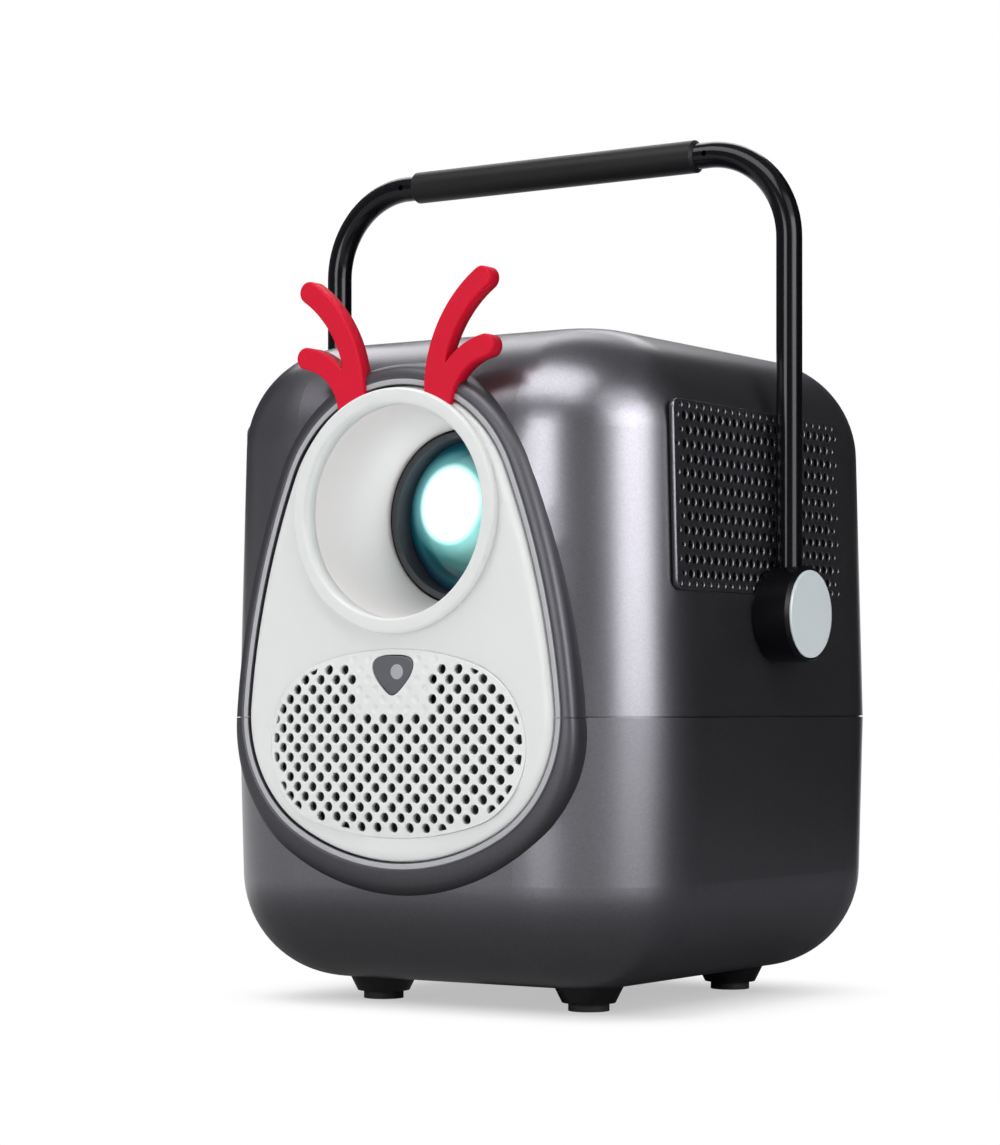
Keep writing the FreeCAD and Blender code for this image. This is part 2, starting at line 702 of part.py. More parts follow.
def screw_places():
    """The rear towers hold the case screws; in front the plate's clips hold both shells."""
    return [(x, y) for x, y in tower_places() if y > 0]


def upper_shell():
    form = outside(BODY_TOP)
    solid = join([form] + plinth(True)[:1]).cut(cavity(BODY_TOP))
    extras = plinth(True)[1:] + key_posts()
    for side in (-1, 1):
        extras.append(rod(PAD_R, Vector(side * (PAD_X - WALL), PIVOT_Y, PIVOT_Z),
                          Vector(side * PAD_X, PIVOT_Y, PIVOT_Z)))
        extras.append(rod(PIVOT_BOSS_R, Vector(side * (PAD_X - BUSHING_LENGTH), PIVOT_Y, PIVOT_Z),
                          Vector(side * (PAD_X - WALL / 2), PIVOT_Y, PIVOT_Z)))
    in_wall = cavity(BODY_TOP, WALL / 2)
    extras += [screw_boss(x, y).common(in_wall) for x, y in screw_places()]
    solid = join([solid] + extras)
    cuts = plate_openings() + [focus_slot(), key_hole(-KEY_PITCH), key_hole(0),
                               rocker_block(KEY_GAP, INSIDE_TOP - 1, BODY_TOP + 1)]
    lap_top = PARTING_Z + LAP_H + LAP_GAP
    cuts.append(band(PARTING_Z, lap_top, WALL - LAP_T - LAP_GAP).cut(band(PARTING_Z - 1, lap_top + 1, WALL + LAP_GAP)))
    for side in (-1, 1):
        cuts.append(vent_slab(VENT_T + 3 * WALL, VENT_T + 3 * WALL + VENT_RECESS + VENT_T, SEAT_GAP, side))
        cuts.append(vent_slab(WALL, 6 * WALL, -VENT_RIM, side))
        cuts.append(rod(BUSHING_R, Vector(side * (PAD_X - BUSHING_LENGTH - 1), PIVOT_Y, PIVOT_Z),
                        Vector(side * (PAD_X + 1), PIVOT_Y, PIVOT_Z)))
    cuts.append(groove())
    cuts += [rod(SCREW_SHAFT_R, Vector(x, y, PARTING_Z - 1), Vector(x, y, SCREW_SEAT_Z + SCREW_LENGTH + SCREW_GAP))
             for x, y in screw_places()]
    return solid.cut(cuts)


def screw_boss(x, y):
    """Boss that a case screw bites in, with a rib to the front or back wall."""
    top = SCREW_SEAT_Z + SCREW_LENGTH + WALL
    boss = rod(POST_R, Vector(x, y, PARTING_Z), Vector(x, y, top))
    wall_y = math.copysign(BODY_D / 2, y)
    rib = box(x - WALL / 2, x + WALL / 2, min(y, wall_y), max(y, wall_y), PARTING_Z + LAP_H + 2 * LAP_GAP, top)
    return join([boss, rib])


def groove():
    """Shadow gap between the shells, on the outside only."""
    return band(PARTING_Z, PARTING_Z + PART_GROOVE, -3 * PLATE_PROUD).cut(band(PARTING_Z - 1, PARTING_Z + 1, LAP_T))


def lower_shell():
    form = outside(BODY_BOTTOM)
    solid = join([form] + plinth(False)[:1]).cut(cavity(BODY_BOTTOM))
    tongue = band(PARTING_Z - LAP_H, PARTING_Z + LAP_H, WALL - LAP_T)
    tongue = tongue.cut(band(PARTING_Z - LAP_H - 1, PARTING_Z + LAP_H + 1, WALL))
    behind_plate = slab(egg(BACKING_Y, LIP_W + PLATE_GAP), 2 * WALL)
    extras = plinth(False)[1:] + [tongue.cut(behind_plate)]
    in_wall = cavity(BODY_BOTTOM, WALL / 2)
    for x, y in tower_places():
        half = TOWER_SIZE / 2
        extras.append(box(x - half, x + half, y - half, y + half, BODY_BOTTOM, CHASSIS_Z).common(in_wall))
    for x, y in screw_places():
        extras.append(rod(POST_R, Vector(x, y, BODY_BOTTOM), Vector(x, y, PARTING_Z)).common(in_wall))
    for x in (-DRIVE_L / 4, DRIVE_L / 4):
        for y in (-DRIVE_W / 3, DRIVE_W / 3):
            extras.append(box(x - POST_R, x + POST_R, y - POST_R, y + POST_R, BODY_BOTTOM + WALL / 2, DRIVE_Z0))
    extras.append(rod(TRIPOD_BOSS_R, Vector(0, 0, BODY_BOTTOM), Vector(0, 0, BODY_BOTTOM + TRIPOD_LENGTH + WALL)))
    solid = join([solid] + extras)
    cuts = plate_openings()
    cuts.append(box(-BODY_W, -BODY_W / 2 + EDGE_R, -BEZEL_W / 2 - BEZEL_GAP, BEZEL_W / 2 + BEZEL_GAP,
                    BEZEL_Z - BEZEL_GAP, BEZEL_Z + BEZEL_H + BEZEL_GAP).cut(
                        box(DRIVE_MOUTH_X, BODY_W, -BODY_D, BODY_D, 0, BODY_TOP)))
    cuts.append(box(DRIVE_MOUTH_X - 1, DRIVE_MOUTH_X + DRIVE_L + SEAT_GAP, -DRIVE_W / 2 - 1, DRIVE_W / 2 + 1,
                    DRIVE_Z0, DRIVE_Z1 + 1))
    for x, y in screw_places():
        cuts.append(rod(SCREW_HEAD_R + SCREW_GAP, Vector(x, y, 0), Vector(x, y, SCREW_SEAT_Z)))
        cuts.append(rod(SCREW_SHAFT_R + SCREW_GAP / 2, Vector(x, y, 0), Vector(x, y, PARTING_Z + 1)))
    cuts.append(rod(TRIPOD_INSERT_R, Vector(0, 0, 0), Vector(0, 0, BODY_BOTTOM + TRIPOD_LENGTH)))
    for x, y in foot_places():
        cuts.append(rod(FOOT_STUD_R, Vector(x, y, 0), Vector(x, y, BODY_BOTTOM + 2 * WALL)))
    cuts += port_openings()
    return solid.cut(cuts)


def wall_y(z):
    """Where the back wall's outer face is at a height."""
    return CORE_Y + wall_out(z)


def port_box(x, z, width, height, length, grow=0.0, recess=PORT_RECESS):
    """Body of a port, its face set back from the leaning wall."""
    face = wall_y(z - height / 2) - recess
    return box(x - width / 2 - grow, x + width / 2 + grow, face - length, face, z - height / 2 - grow,
               z + height / 2 + grow)


def port_openings():
    """Holes in the back wall for the ports on the main board and the mains inlet."""
    usb_z = BOARD_Z + BOARD_T + USB_H / 2
    hdmi_z = BOARD_Z + BOARD_T + HDMI_H / 2
    jack_z = BOARD_Z + BOARD_T + JACK_R
    through = -4 * PORT_RECESS
    return [
        port_box(USB_X, usb_z, USB_W, USB_H, USB_L, PORT_GAP, through),
        port_box(HDMI_X, hdmi_z, HDMI_W, HDMI_H, HDMI_L, PORT_GAP, through),
        rod(JACK_R + PORT_GAP, Vector(JACK_X, BACK_Y - 3 * WALL, jack_z), Vector(JACK_X, BACK_Y + 1, jack_z)),
        port_box(INLET_X, INLET_Z, INLET_W, INLET_H, INLET_L, PORT_GAP, through),
    ]


# ---------------------------------------------------------------- front
def front_plate():
    plate = slab(egg(PLATE_FACE_Y), PLATE_T)
    face_edges = [e for e in plate.Edges if all(abs(v.Y - PLATE_FACE_Y) < 1e-6 for v in e.Vertexes)]
    plate = plate.makeFillet(PLATE_EDGE_R, face_edges)
    clips = []
    for x, z in clip_places():
        reach = BACKING_Y + CLIP_BARB
        arm = box(x - CLIP_W / 2, x + CLIP_W / 2, PLATE_BACK_Y - 1, reach + CLIP_BARB, z, z + CLIP_T)
        barb = box(x - CLIP_W / 2, x + CLIP_W / 2, BACKING_Y, reach + CLIP_BARB, z + CLIP_T, z + CLIP_T + CLIP_BARB)
        clips += [arm, barb]
    plate = join([plate] + clips)
    lens_hole = rod(RING_SPIGOT_R + SEAT_GAP, Vector(0, PLATE_FACE_Y - 1, AXIS_Z), Vector(0, PLATE_BACK_Y + 1, AXIS_Z))
    grille_seat = slab(oval(PLATE_FACE_Y - 1, SEAT_GAP), GRILLE_T + 1)
    grille_window = slab(oval(PLATE_FACE_Y, -GRILLE_LEDGE), PLATE_T + 1)
    nose_room = nose_block(GRILLE_BACK_Y - 1, PLATE_T, NOSE_FLANGE + SEAT_GAP)
    return plate.cut([lens_hole, grille_seat, grille_window, nose_room])


def grille_holes():
    """Centres of the perforation: rows set half a pitch over from each other."""
    places = []
    rows = int(GRILLE_HALF_H / HOLE_PITCH_Z * 2) + 2
    columns = int(GRILLE_HALF_W / HOLE_PITCH_X) + 2
    reach = GRILLE_HALF_W - GRILLE_END_R
    inner_w = GRILLE_HALF_W - HOLE_R - HOLE_EDGE
    inner_h = GRILLE_HALF_H - HOLE_R - HOLE_EDGE
    for row in range(-rows, rows + 1):
        shift = HOLE_PITCH_X / 2 if row % 2 else 0.0
        for column in range(-columns, columns + 1):
            x = column * HOLE_PITCH_X + shift
            z = row * HOLE_PITCH_Z / 2
            beyond = max(abs(x) - reach, 0.0)
            in_end = math.hypot(beyond, z) < inner_w - reach if beyond else abs(z) < inner_h
            by_window = abs(x) < NOSE_SOLID_HALF_W and abs(GRILLE_Z + z - NOSE_Z) < NOSE_SOLID_H
            if in_end and not by_window:
                places.append((x, GRILLE_Z + z))
    return places


def hexagon(x, z, y, radius):
    corners = [Vector(x + radius * math.sin(math.radians(60 * i)), y, z + radius * math.cos(math.radians(60 * i)))
               for i in range(6)]
    return Part.makePolygon(corners + corners[:1])


def speaker_grille():
    holes = [hexagon(x, z, PLATE_FACE_Y, HOLE_R) for x, z in grille_holes()]
    sheet = Part.Face([oval(PLATE_FACE_Y)] + holes)
    sheet = sheet if sheet.isValid() else Part.Face(oval(PLATE_FACE_Y)).cut([Part.Face(h) for h in holes])
    panel = sheet.extrude(Vector(0, GRILLE_T, 0))
    return panel.cut(nose_block(PLATE_FACE_Y - 1, GRILLE_T + 2, SEAT_GAP))


def ir_window():
    face = nose_block(PLATE_FACE_Y - NOSE_PROUD, GRILLE_T + NOSE_PROUD)
    return join([face, nose_block(GRILLE_BACK_Y, NOSE_FLANGE, NOSE_FLANGE)])


def ir_sensor():
    """Remote control receiver: a small block with a domed front, stuck to the window's back."""
    back = GRILLE_BACK_Y + NOSE_FLANGE
    width = NOSE_TOP / 2
    body = box(-width, width, back + 1.5, back + 4.5, NOSE_Z - width, NOSE_Z + width)
    return join([body, rod(width * 0.9, Vector(0, back, NOSE_Z), Vector(0, back + 1.6, NOSE_Z))])


def lens_ring():
    depth = RING_PROUD
    spigot = PLATE_T + depth - SEAT_GAP
    profile = [(RING_IN_R + RING_EDGE, 0), (RING_OUT_R - RING_EDGE, 0), (RING_OUT_R, RING_EDGE), (RING_OUT_R, depth),
               (RING_SPIGOT_R, depth), (RING_SPIGOT_R, spigot), (RING_IN_R, spigot), (RING_IN_R, RING_EDGE)]
    ring = spun(profile, Vector(0, RING_FACE_Y, AXIS_Z), Vector(0, 1, 0))
    return ring.cut([antler_tab(side, SEAT_GAP) for side in (-1, 1)])


def lens_funnel():
    wall = FUNNEL_WALL
    end = FUNNEL_LENGTH
    flange = FUNNEL_FLANGE_T
    mouth = RING_IN_R
    profile = [(mouth, 0), (FUNNEL_FLANGE_R, 0), (FUNNEL_FLANGE_R, flange), (mouth + wall, flange),
               (FUNNEL_END_R + wall, end), (FUNNEL_END_R, end)]
    return spun(profile, Vector(0, PLATE_BACK_Y, AXIS_Z), Vector(0, 1, 0))


# ---------------------------------------------------------------- antlers
def antler_tab(side, grow=0.0):
    """Tab of the antler's foot that is let into the ring's wall."""
    y0 = RING_FACE_Y + ANTLER_FACE
    tab = box(-ANTLER_TAB_W / 2 - grow, ANTLER_TAB_W / 2 + grow, y0 - grow, y0 + ANTLER_TAB_T + grow,
              RING_OUT_R - ANTLER_TAB - grow, RING_OUT_R + 1)
    tab.rotate(Vector(0, 0, 0), Vector(0, 1, 0), 90 - ANTLER_ROOT_ANGLE)
    tab.translate(Vector(0, 0, AXIS_Z))
    return tab if side > 0 else mirrored(tab)


def limb(root, bend, tip, y):
    """Flat limb of one width along an arc, round at both ends."""
    half = ANTLER_LIMB / 2
    points = [Vector(x, y, z) for x, z in (root, bend, tip)]
    middle = Part.Arc(*points).toShape().Curve.Center

    def beside(point, offset):
        outwards = point - middle
        return middle + outwards * ((outwards.Length + offset) / outwards.Length)

    def beyond(point):
        along = (point - middle).cross(Vector(0, 1, 0)).normalize() * half
        return point + along if along.dot(point - points[1]) > 0 else point - along

    inner = [beside(point, -half) for point in points]
    outer = [beside(point, half) for point in points]
    edge = [Part.Arc(*outer), Part.Arc(outer[2], beyond(points[2]), inner[2]),
            Part.Arc(*reversed(inner)), Part.Arc(inner[0], beyond(points[0]), outer[0])]
    return slab(Part.Wire([arc.toShape() for arc in edge]), ANTLER_T)


def antler(side):
    y = RING_FACE_Y + ANTLER_FACE
    shape = join([limb(BEAM_ROOT, BEAM_BEND, BEAM_TIP, y), limb(BRANCH_ROOT, BRANCH_BEND, BRANCH_TIP, y)])
    ring_room = rod(RING_OUT_R + SEAT_GAP / 3, Vector(0, y - 1, AXIS_Z), Vector(0, y + ANTLER_T + 1, AXIS_Z))
    skirt = LIP_W + PLATE_GAP + (BEVEL_SIDE + SKIRT_TOP) / 2
    body_room = slab(egg(PLATE_FACE_Y - SEAT_GAP, skirt), ANTLER_T + 1)
    shape = join([shape.cut([ring_room, body_room]), antler_tab(1)])
    return shape if side > 0 else mirrored(shape)


# ---------------------------------------------------------------- side vents
def side_vent(side):
    """Perforated panel in the side wall; the right one carries the fan."""
    panel = vent_slab(-VENT_RECESS, VENT_T, 0.0)
    middle_y = (VENT_Y0 + VENT_Y1) / 2
    half_w = (VENT_Y1 - VENT_Y0) / 2 - VENT_RIM - VENT_HOLE_R
    half_h = (VENT_Z1 - VENT_Z0) / 2 - VENT_RIM - VENT_HOLE_R
    columns = int(half_w / VENT_PITCH) + 1
    rows = int(half_h / VENT_PITCH) + 1
    drills = []
    for row in range(-2 * rows, 2 * rows + 1):
        shift = VENT_PITCH / 2 if row % 2 else 0.0
        for column in range(-columns, columns + 1):
            y = column * VENT_PITCH + shift
            z = row * VENT_PITCH / 2
            if abs(y) < half_w and abs(z) < half_h:
                corners = [Vector(-2 * WALL, middle_y + y + VENT_HOLE_R * dy, z + VENT_HOLE_R * dz)
                           for dy, dz in ((1, 0), (0, 1), (-1, 0), (0, -1))]
                face = Part.Face(Part.makePolygon(corners + corners[:1]))
                drills.append(place_on_side(face.extrude(Vector(4 * WALL, 0, 0)), 1))
    panel = panel.cut(drills)
    if side > 0:
        half = FAN_SIZE / 2 - FAN_POST / 2
        posts = [box(fan_outer_x(), fan_outer_x() + 2 * FAN_STANDOFF, FAN_Y + sy * half - FAN_POST / 2,
                     FAN_Y + sy * half + FAN_POST / 2, FAN_Z + sz * half - FAN_POST / 2,
                     FAN_Z + sz * half + FAN_POST / 2) for sy in (-1, 1) for sz in (-1, 1)]
        room = vent_slab(-VENT_RECESS - VENT_T / 2, 8 * FAN_STANDOFF, -VENT_RIM - SEAT_GAP)
        panel = join([panel] + [post.common(room) for post in posts])
        return panel
    return mirrored(panel)


def fan_outer_x():
    """Outer face of the fan's frame."""
    wall_x = BODY_W / 2 - DRAFT * (VENT_Z1 - PARTING_Z)
    return wall_x - VENT_RECESS - VENT_T - FAN_STANDOFF


# ---------------------------------------------------------------- handle
def handle_tube():
    """One bent steel tube; its ends are let into the hubs."""
    corner_x = LEG_X - TUBE_BEND_R
    corner_z = HANDLE_TOP_Z - TUBE_BEND_R
    foot = Vector(LEG_X, PIVOT_Y, PIVOT_Z + TUBE_SOCKET)
    up = Vector(0, 0, 1)

    def half_bar(radius):
        leg = rod(radius, foot, foot + up * (corner_z - foot.z))
        ring = Part.Face(Part.Wire(Part.makeCircle(radius, Vector(LEG_X, PIVOT_Y, corner_z), up)))
        bend = ring.revolve(Vector(corner_x, PIVOT_Y, corner_z), Vector(0, -1, 0), 90)
        across = rod(radius, Vector(corner_x, PIVOT_Y, HANDLE_TOP_Z), Vector(0, PIVOT_Y, HANDLE_TOP_Z))
        return [leg, bend, across]

    def bar(radius):
        right = half_bar(radius)
        return join(right + [mirrored(piece) for piece in right])

    holes = [rod(TUBE_HOLE_R, Vector(x, PIVOT_Y - 2 * TUBE_R, HANDLE_TOP_Z), Vector(x, PIVOT_Y, HANDLE_TOP_Z))
             for x in (-GRIP_HALF_L - TUBE_HOLE_OFFSET, GRIP_HALF_L + TUBE_HOLE_OFFSET)]
    return bar(TUBE_R).cut([bar(TUBE_R - TUBE_WALL)] + holes)


def handle_grip():
    length = 2 * GRIP_HALF_L
    inner = TUBE_R + GRIP_GAP
    bevel = GRIP_BEVEL
    profile = [(inner, 0), (GRIP_R - bevel, 0), (GRIP_R, bevel), (GRIP_R, length - bevel),
               (GRIP_R - bevel, length), (inner, length)]
    return spun(profile, Vector(-GRIP_HALF_L, PIVOT_Y, HANDLE_TOP_Z), Vector(1, 0, 0))


def hub(side):
    """Round end of the handle: the tube goes in from above and the pivot pin through the middle."""
    length = HUB_LENGTH
    seat = length - CAP_T + CAP_PROUD
    profile = [(0, 0), (HUB_R, 0), (HUB_R, length - HUB_BEVEL), (HUB_R - HUB_BEVEL, length), (0, length)]
    drum = spun(profile, Vector(HUB_X, PIVOT_Y, PIVOT_Z), Vector(1, 0, 0))
    middle = Vector(HUB_X, PIVOT_Y, PIVOT_Z)
    across = Vector(1, 0, 0)
    cuts = [
        rod(CAP_R + SEAT_GAP / 2, middle + across * seat, middle + across * (length + 1)),
        rod(PIN_R + SEAT_GAP / 5, middle - across, middle + across * length),
        rod(PIN_HEAD_R + SEAT_GAP / 5, middle + across * (seat - PIN_HEAD_T - SEAT_GAP), middle + across * length),
        rod(TUBE_R + SEAT_GAP / 5, Vector(LEG_X, PIVOT_Y, PIVOT_Z + TUBE_SOCKET),
            Vector(LEG_X, PIVOT_Y, PIVOT_Z + 2 * HUB_R)),
    ]
    drum = drum.cut(cuts)
    return drum if side > 0 else mirrored(drum)


def hub_cap(side):
    base = HUB_X + HUB_LENGTH - CAP_T + CAP_PROUD
    profile = [(0, 0), (CAP_R, 0), (CAP_R, CAP_T - CAP_PROUD / 2), (CAP_R - CAP_PROUD / 2, CAP_T), (0, CAP_T)]
    cap = spun(profile, Vector(base, PIVOT_Y, PIVOT_Z), Vector(1, 0, 0))
    return cap if side > 0 else mirrored(cap)


def pivot_pins():
    """Headed pins that hold the hubs and turn with them; a clip inside keeps each one in."""
    start = PIN_END_X - PIN_CLIP_T
    head = HUB_X + HUB_LENGTH - CAP_T + CAP_PROUD - PIN_HEAD_T - start
    profile = [(0, 0), (PIN_CLIP_R, 0), (PIN_CLIP_R, PIN_CLIP_T), (PIN_R, PIN_CLIP_T), (PIN_R, head),
               (PIN_HEAD_R, head), (PIN_HEAD_R, head + PIN_HEAD_T), (0, head + PIN_HEAD_T)]
    pin = spun(profile, Vector(start, PIVOT_Y, PIVOT_Z), Vector(1, 0, 0))
    return Part.makeCompound([pin, mirrored(pin)])


def pivot_bushings():
    base = Vector(PAD_X - BUSHING_LENGTH, PIVOT_Y, PIVOT_Z)
    bore = PIN_R + PIN_RUNNING_GAP
    profile = [(bore, 0), (BUSHING_R, 0), (BUSHING_R, BUSHING_LENGTH), (bore, BUSHING_LENGTH)]
    bushing = spun(profile, base, Vector(1, 0, 0))
    return Part.makeCompound([bushing, mirrored(bushing)])


# ---------------------------------------------------------------- feet
def foot_places():
    return [(sx * FOOT_X, FOOT_AFT + sy * FOOT_PITCH_Y / 2) for sy in (-1, 1) for sx in (-1, 1)]


def feet():
    """Four tapered feet under the lower shell, each with a stud that goes into the shell."""
    profile = [(0, PAD_FOOT_H), (FOOT_TIP_R, PAD_FOOT_H), (FOOT_TOP_R, BODY_BOTTOM), (0, BODY_BOTTOM)]
    stud_r = FOOT_STUD_R - SEAT_GAP / 3
    made = []
    for x, y in foot_places():
        cone = spun(profile, Vector(x, y, 0), Vector(0, 0, 1))
        stud = rod(stud_r, Vector(x, y, BODY_BOTTOM - 1), Vector(x, y, BODY_BOTTOM + WALL))
        seat = rod(PAD_FOOT_R, Vector(x, y, 0), Vector(x, y, PAD_FOOT_H + PAD_FOOT_LET_IN))
        made.append(join([cone, stud]).cut(seat))
    return Part.makeCompound(made)


def foot_pads():
    return Part.makeCompound([rod(PAD_FOOT_R, Vector(x, y, 0), Vector(x, y, PAD_FOOT_H + PAD_FOOT_LET_IN))
                              for x, y in foot_places()])


def tripod_insert():
    outer = rod(TRIPOD_INSERT_R, Vector(0, 0, BODY_BOTTOM), Vector(0, 0, BODY_BOTTOM + TRIPOD_LENGTH))
    return outer.cut(rod(TRIPOD_BORE_R, Vector(0, 0, 0), Vector(0, 0, BODY_BOTTOM + TRIPOD_LENGTH)))


# ---------------------------------------------------------------- lens and focus
def lens_barrel():
    """Lens tube with two sliding lugs on the guide rods and the focusing rack on its back."""
    length = BARREL_LENGTH
    seat = BARREL_R - BARREL_WALL
    bore = seat - LENS_LEDGE
    shoulder = BARREL_RIM + LENS_T
    profile = [(seat, 0), (BARREL_R, 0), (BARREL_R, length), (bore, length), (bore, shoulder), (seat, shoulder)]
    tube = spun(profile, Vector(0, BARREL_Y, AXIS_Z), Vector(0, 1, 0))
    lug_y = WHEEL_Y - LUG_LENGTH / 2
    extras = []
    for side in (-1, 1):
        inner = seat
        outer = ROD_X + ROD_R + LUG_WALL
        lug = box(inner, outer, lug_y, lug_y + LUG_LENGTH, AXIS_Z - LUG_H / 2, AXIS_Z + LUG_H / 2)
        lug = lug.cut(rod(ROD_R + ROD_GAP, Vector(ROD_X, lug_y - 1, AXIS_Z), Vector(ROD_X, lug_y + LUG_LENGTH + 1, AXIS_Z)))
        lug = lug.cut(rod(BARREL_R - BARREL_WALL / 2, Vector(0, lug_y - 1, AXIS_Z),
                          Vector(0, lug_y + LUG_LENGTH + 1, AXIS_Z)))
        extras.append(lug if side > 0 else mirrored(lug))
    return join([tube] + extras + [focus_rack()])


def tooth_flanks(module):
    """Half widths of a straight-sided tooth at its root, pitch line and tip."""
    half_pitch = math.pi * module / 4 - TOOTH_PLAY / 2
    lean = math.tan(math.radians(20))
    return half_pitch + 1.1 * module * lean, half_pitch - 0.9 * module * lean


def focus_rack():
    """Straight rack on top of the barrel, in mesh with the pinion above it."""
    root, tip = tooth_flanks(TOOTH_MODULE)
    pitch = math.pi * TOOTH_MODULE
    low = RACK_Z - 1.1 * TOOTH_MODULE
    high = RACK_Z + 0.9 * TOOTH_MODULE
    half = RACK_TEETH * pitch / 2
    teeth = []
    for index in range(RACK_TEETH):
        y = WHEEL_Y + (index - (RACK_TEETH - 1) / 2) * pitch
        corners = [Vector(-RACK_T / 2, y - root, low), Vector(-RACK_T / 2, y + root, low),
                   Vector(-RACK_T / 2, y + tip, high), Vector(-RACK_T / 2, y - tip, high)]
        teeth.append(Part.Face(Part.makePolygon(corners + corners[:1])).extrude(Vector(RACK_T, 0, 0)))
    base = box(-RACK_T / 2, RACK_T / 2, WHEEL_Y - half, WHEEL_Y + half, AXIS_Z + BARREL_R - BARREL_WALL, low)
    return join([base] + teeth)


def front_lens():
    """Front element, domed towards the picture and flat where it rests on the barrel's ledge."""
    radius = BARREL_R - BARREL_WALL - SEAT_GAP / 3
    start = BARREL_Y + BARREL_RIM
    glass = Part.makeCylinder(radius, LENS_T, Vector(0, start, AXIS_Z), Vector(0, 1, 0))
    return glass.common(Part.makeSphere(LENS_BULGE_R, Vector(0, start + LENS_BULGE_R, AXIS_Z)))


def lens_guide_rods():
    end_y = ENGINE_Y0 + ENGINE_WALL
    rods = [rod(ROD_R, Vector(side * ROD_X, bracket_y(), AXIS_Z), Vector(side * ROD_X, end_y, AXIS_Z))
            for side in (-1, 1)]
    return Part.makeCompound(rods)


def bracket_y():
    """Front face of the bracket that holds the guide rods' front ends."""
    return FUNNEL_END_Y + FOCUS_TRAVEL + 2.5


def pinion_outline(x):
    """Pinion of straight-sided teeth; a gap faces down so that a rack tooth fills it."""
    root, tip = tooth_flanks(TOOTH_MODULE)
    low = PITCH_R - 1.15 * TOOTH_MODULE
    high = PITCH_R + 0.9 * TOOTH_MODULE
    corners = []
    for index in range(PINION_TEETH):
        middle = 2 * math.pi * (index + 0.5) / PINION_TEETH
        for half, radius in ((-root * 0.92, low), (-tip * 0.85, high), (tip * 0.85, high), (root * 0.92, low)):
            angle = middle + half / PITCH_R
            corners.append(Vector(x, WHEEL_Y + radius * math.sin(angle), WHEEL_Z - radius * math.cos(angle)))
    return Part.makePolygon(corners + corners[:1])


def focus_wheel():
    """Fluted thumbwheel and its pinion, moulded in one."""
    axis = Vector(1, 0, 0)
    wheel = Part.makeCylinder(WHEEL_R, WHEEL_T, Vector(WHEEL_X - WHEEL_T / 2, WHEEL_Y, WHEEL_Z), axis)
    flutes = []
    for index in range(WHEEL_FLUTES):
        angle = 2 * math.pi * index / WHEEL_FLUTES
        centre = Vector(WHEEL_X - WHEEL_T, WHEEL_Y + WHEEL_R * math.cos(angle), WHEEL_Z + WHEEL_R * math.sin(angle))
        corners = [centre + Vector(0, FLUTE_R * math.cos(turn), FLUTE_R * math.sin(turn))
                   for turn in (angle, angle + 2 * math.pi / 3, angle + 4 * math.pi / 3)]
        corners = [centre + (corner - centre) * -1 for corner in corners]
        flutes.append(Part.Face(Part.makePolygon(corners + corners[:1])).extrude(Vector(2 * WHEEL_T, 0, 0)))
    wheel = wheel.cut(flutes)
    gear = Part.Face(pinion_outline(-GEAR_T / 2)).extrude(Vector(GEAR_T / 2 + WHEEL_X - WHEEL_T / 2, 0, 0))
    bore = rod(AXLE_R + AXLE_GAP, Vector(-WHEEL_R, WHEEL_Y, WHEEL_Z), Vector(2 * WHEEL_R, WHEEL_Y, WHEEL_Z))
    return join([wheel, gear]).cut(bore)


def cheek_places():
    left = -GEAR_T / 2 - CHEEK_GAP - CHEEK_T
    right = WHEEL_X + WHEEL_T / 2 + CHEEK_GAP
    return left, right


def focus_axle():
    left, right = cheek_places()
    return rod(AXLE_R, Vector(left, WHEEL_Y, WHEEL_Z), Vector(right + CHEEK_T, WHEEL_Y, WHEEL_Z))


def engine_housing():
    """Light tunnel, the cradle in front of it for the focusing rods, and the legs it stands on."""
    w = ENGINE_HALF_W
    t = ENGINE_WALL
    y0 = ENGINE_Y0
    y1 = y0 + ENGINE_LENGTH
    z0 = ENGINE_Z0
    z1 = ENGINE_Z1
    tunnel = box(-w, w, y0, y1, z0, z1).cut(box(-w + t, w - t, y0 + t, y1 - t, z0 + t, z1 - t))
    front = bracket_y()
    cradle = box(-w, w, front, y0, z0, z0 + t)
    bracket = box(-w, w, front, front + BRACKET_T, z0, AXIS_Z + BARREL_R + t)
    legs = [box(x, x + t, y, y + LEG_W, CHASSIS_Z + CHASSIS_T, z0)
            for x in (-w, w - t) for y in (front, y1 - LEG_W)]
    left, right = cheek_places()
    foot_y = WHEEL_Y - 3 * AXLE_R
    top = WHEEL_Z + 3 * AXLE_R
    cheeks = [box(x, x + CHEEK_T, foot_y, y0 + t, z1 - 2 * t, top) for x in (left, right)]
    solid = join([tunnel, cradle, bracket] + legs + cheeks)
    cuts = [
        rod(BARREL_R + 1.0, Vector(0, front - 1, AXIS_Z), Vector(0, front + BRACKET_T + 1, AXIS_Z)),
        rod(BARREL_R - BARREL_WALL, Vector(0, y0 - 1, AXIS_Z), Vector(0, y0 + t + 1, AXIS_Z)),
        rod(CONDENSER_R, Vector(0, y1 - t - 1, AXIS_Z), Vector(0, y1 + 1, AXIS_Z)),
        focus_axle(),
    ]
    for side in (-1, 1):
        cuts.append(rod(ROD_R, Vector(side * ROD_X, front, AXIS_Z), Vector(side * ROD_X, y0 + t, AXIS_Z)))
    return solid.cut(cuts)


# ---------------------------------------------------------------- light path behind the lens
def light_sheet(y, thickness):
    """Upright sheet that fills the tunnel's section and stands on its floor."""
    half_w = ENGINE_HALF_W - ENGINE_WALL - SEAT_GAP
    return box(-half_w, half_w, y, y + thickness, ENGINE_Z0 + ENGINE_WALL, ENGINE_Z1 - ENGINE_WALL - SEAT_GAP)


def lcd_panel():
    return light_sheet(LCD_Y, LCD_T)


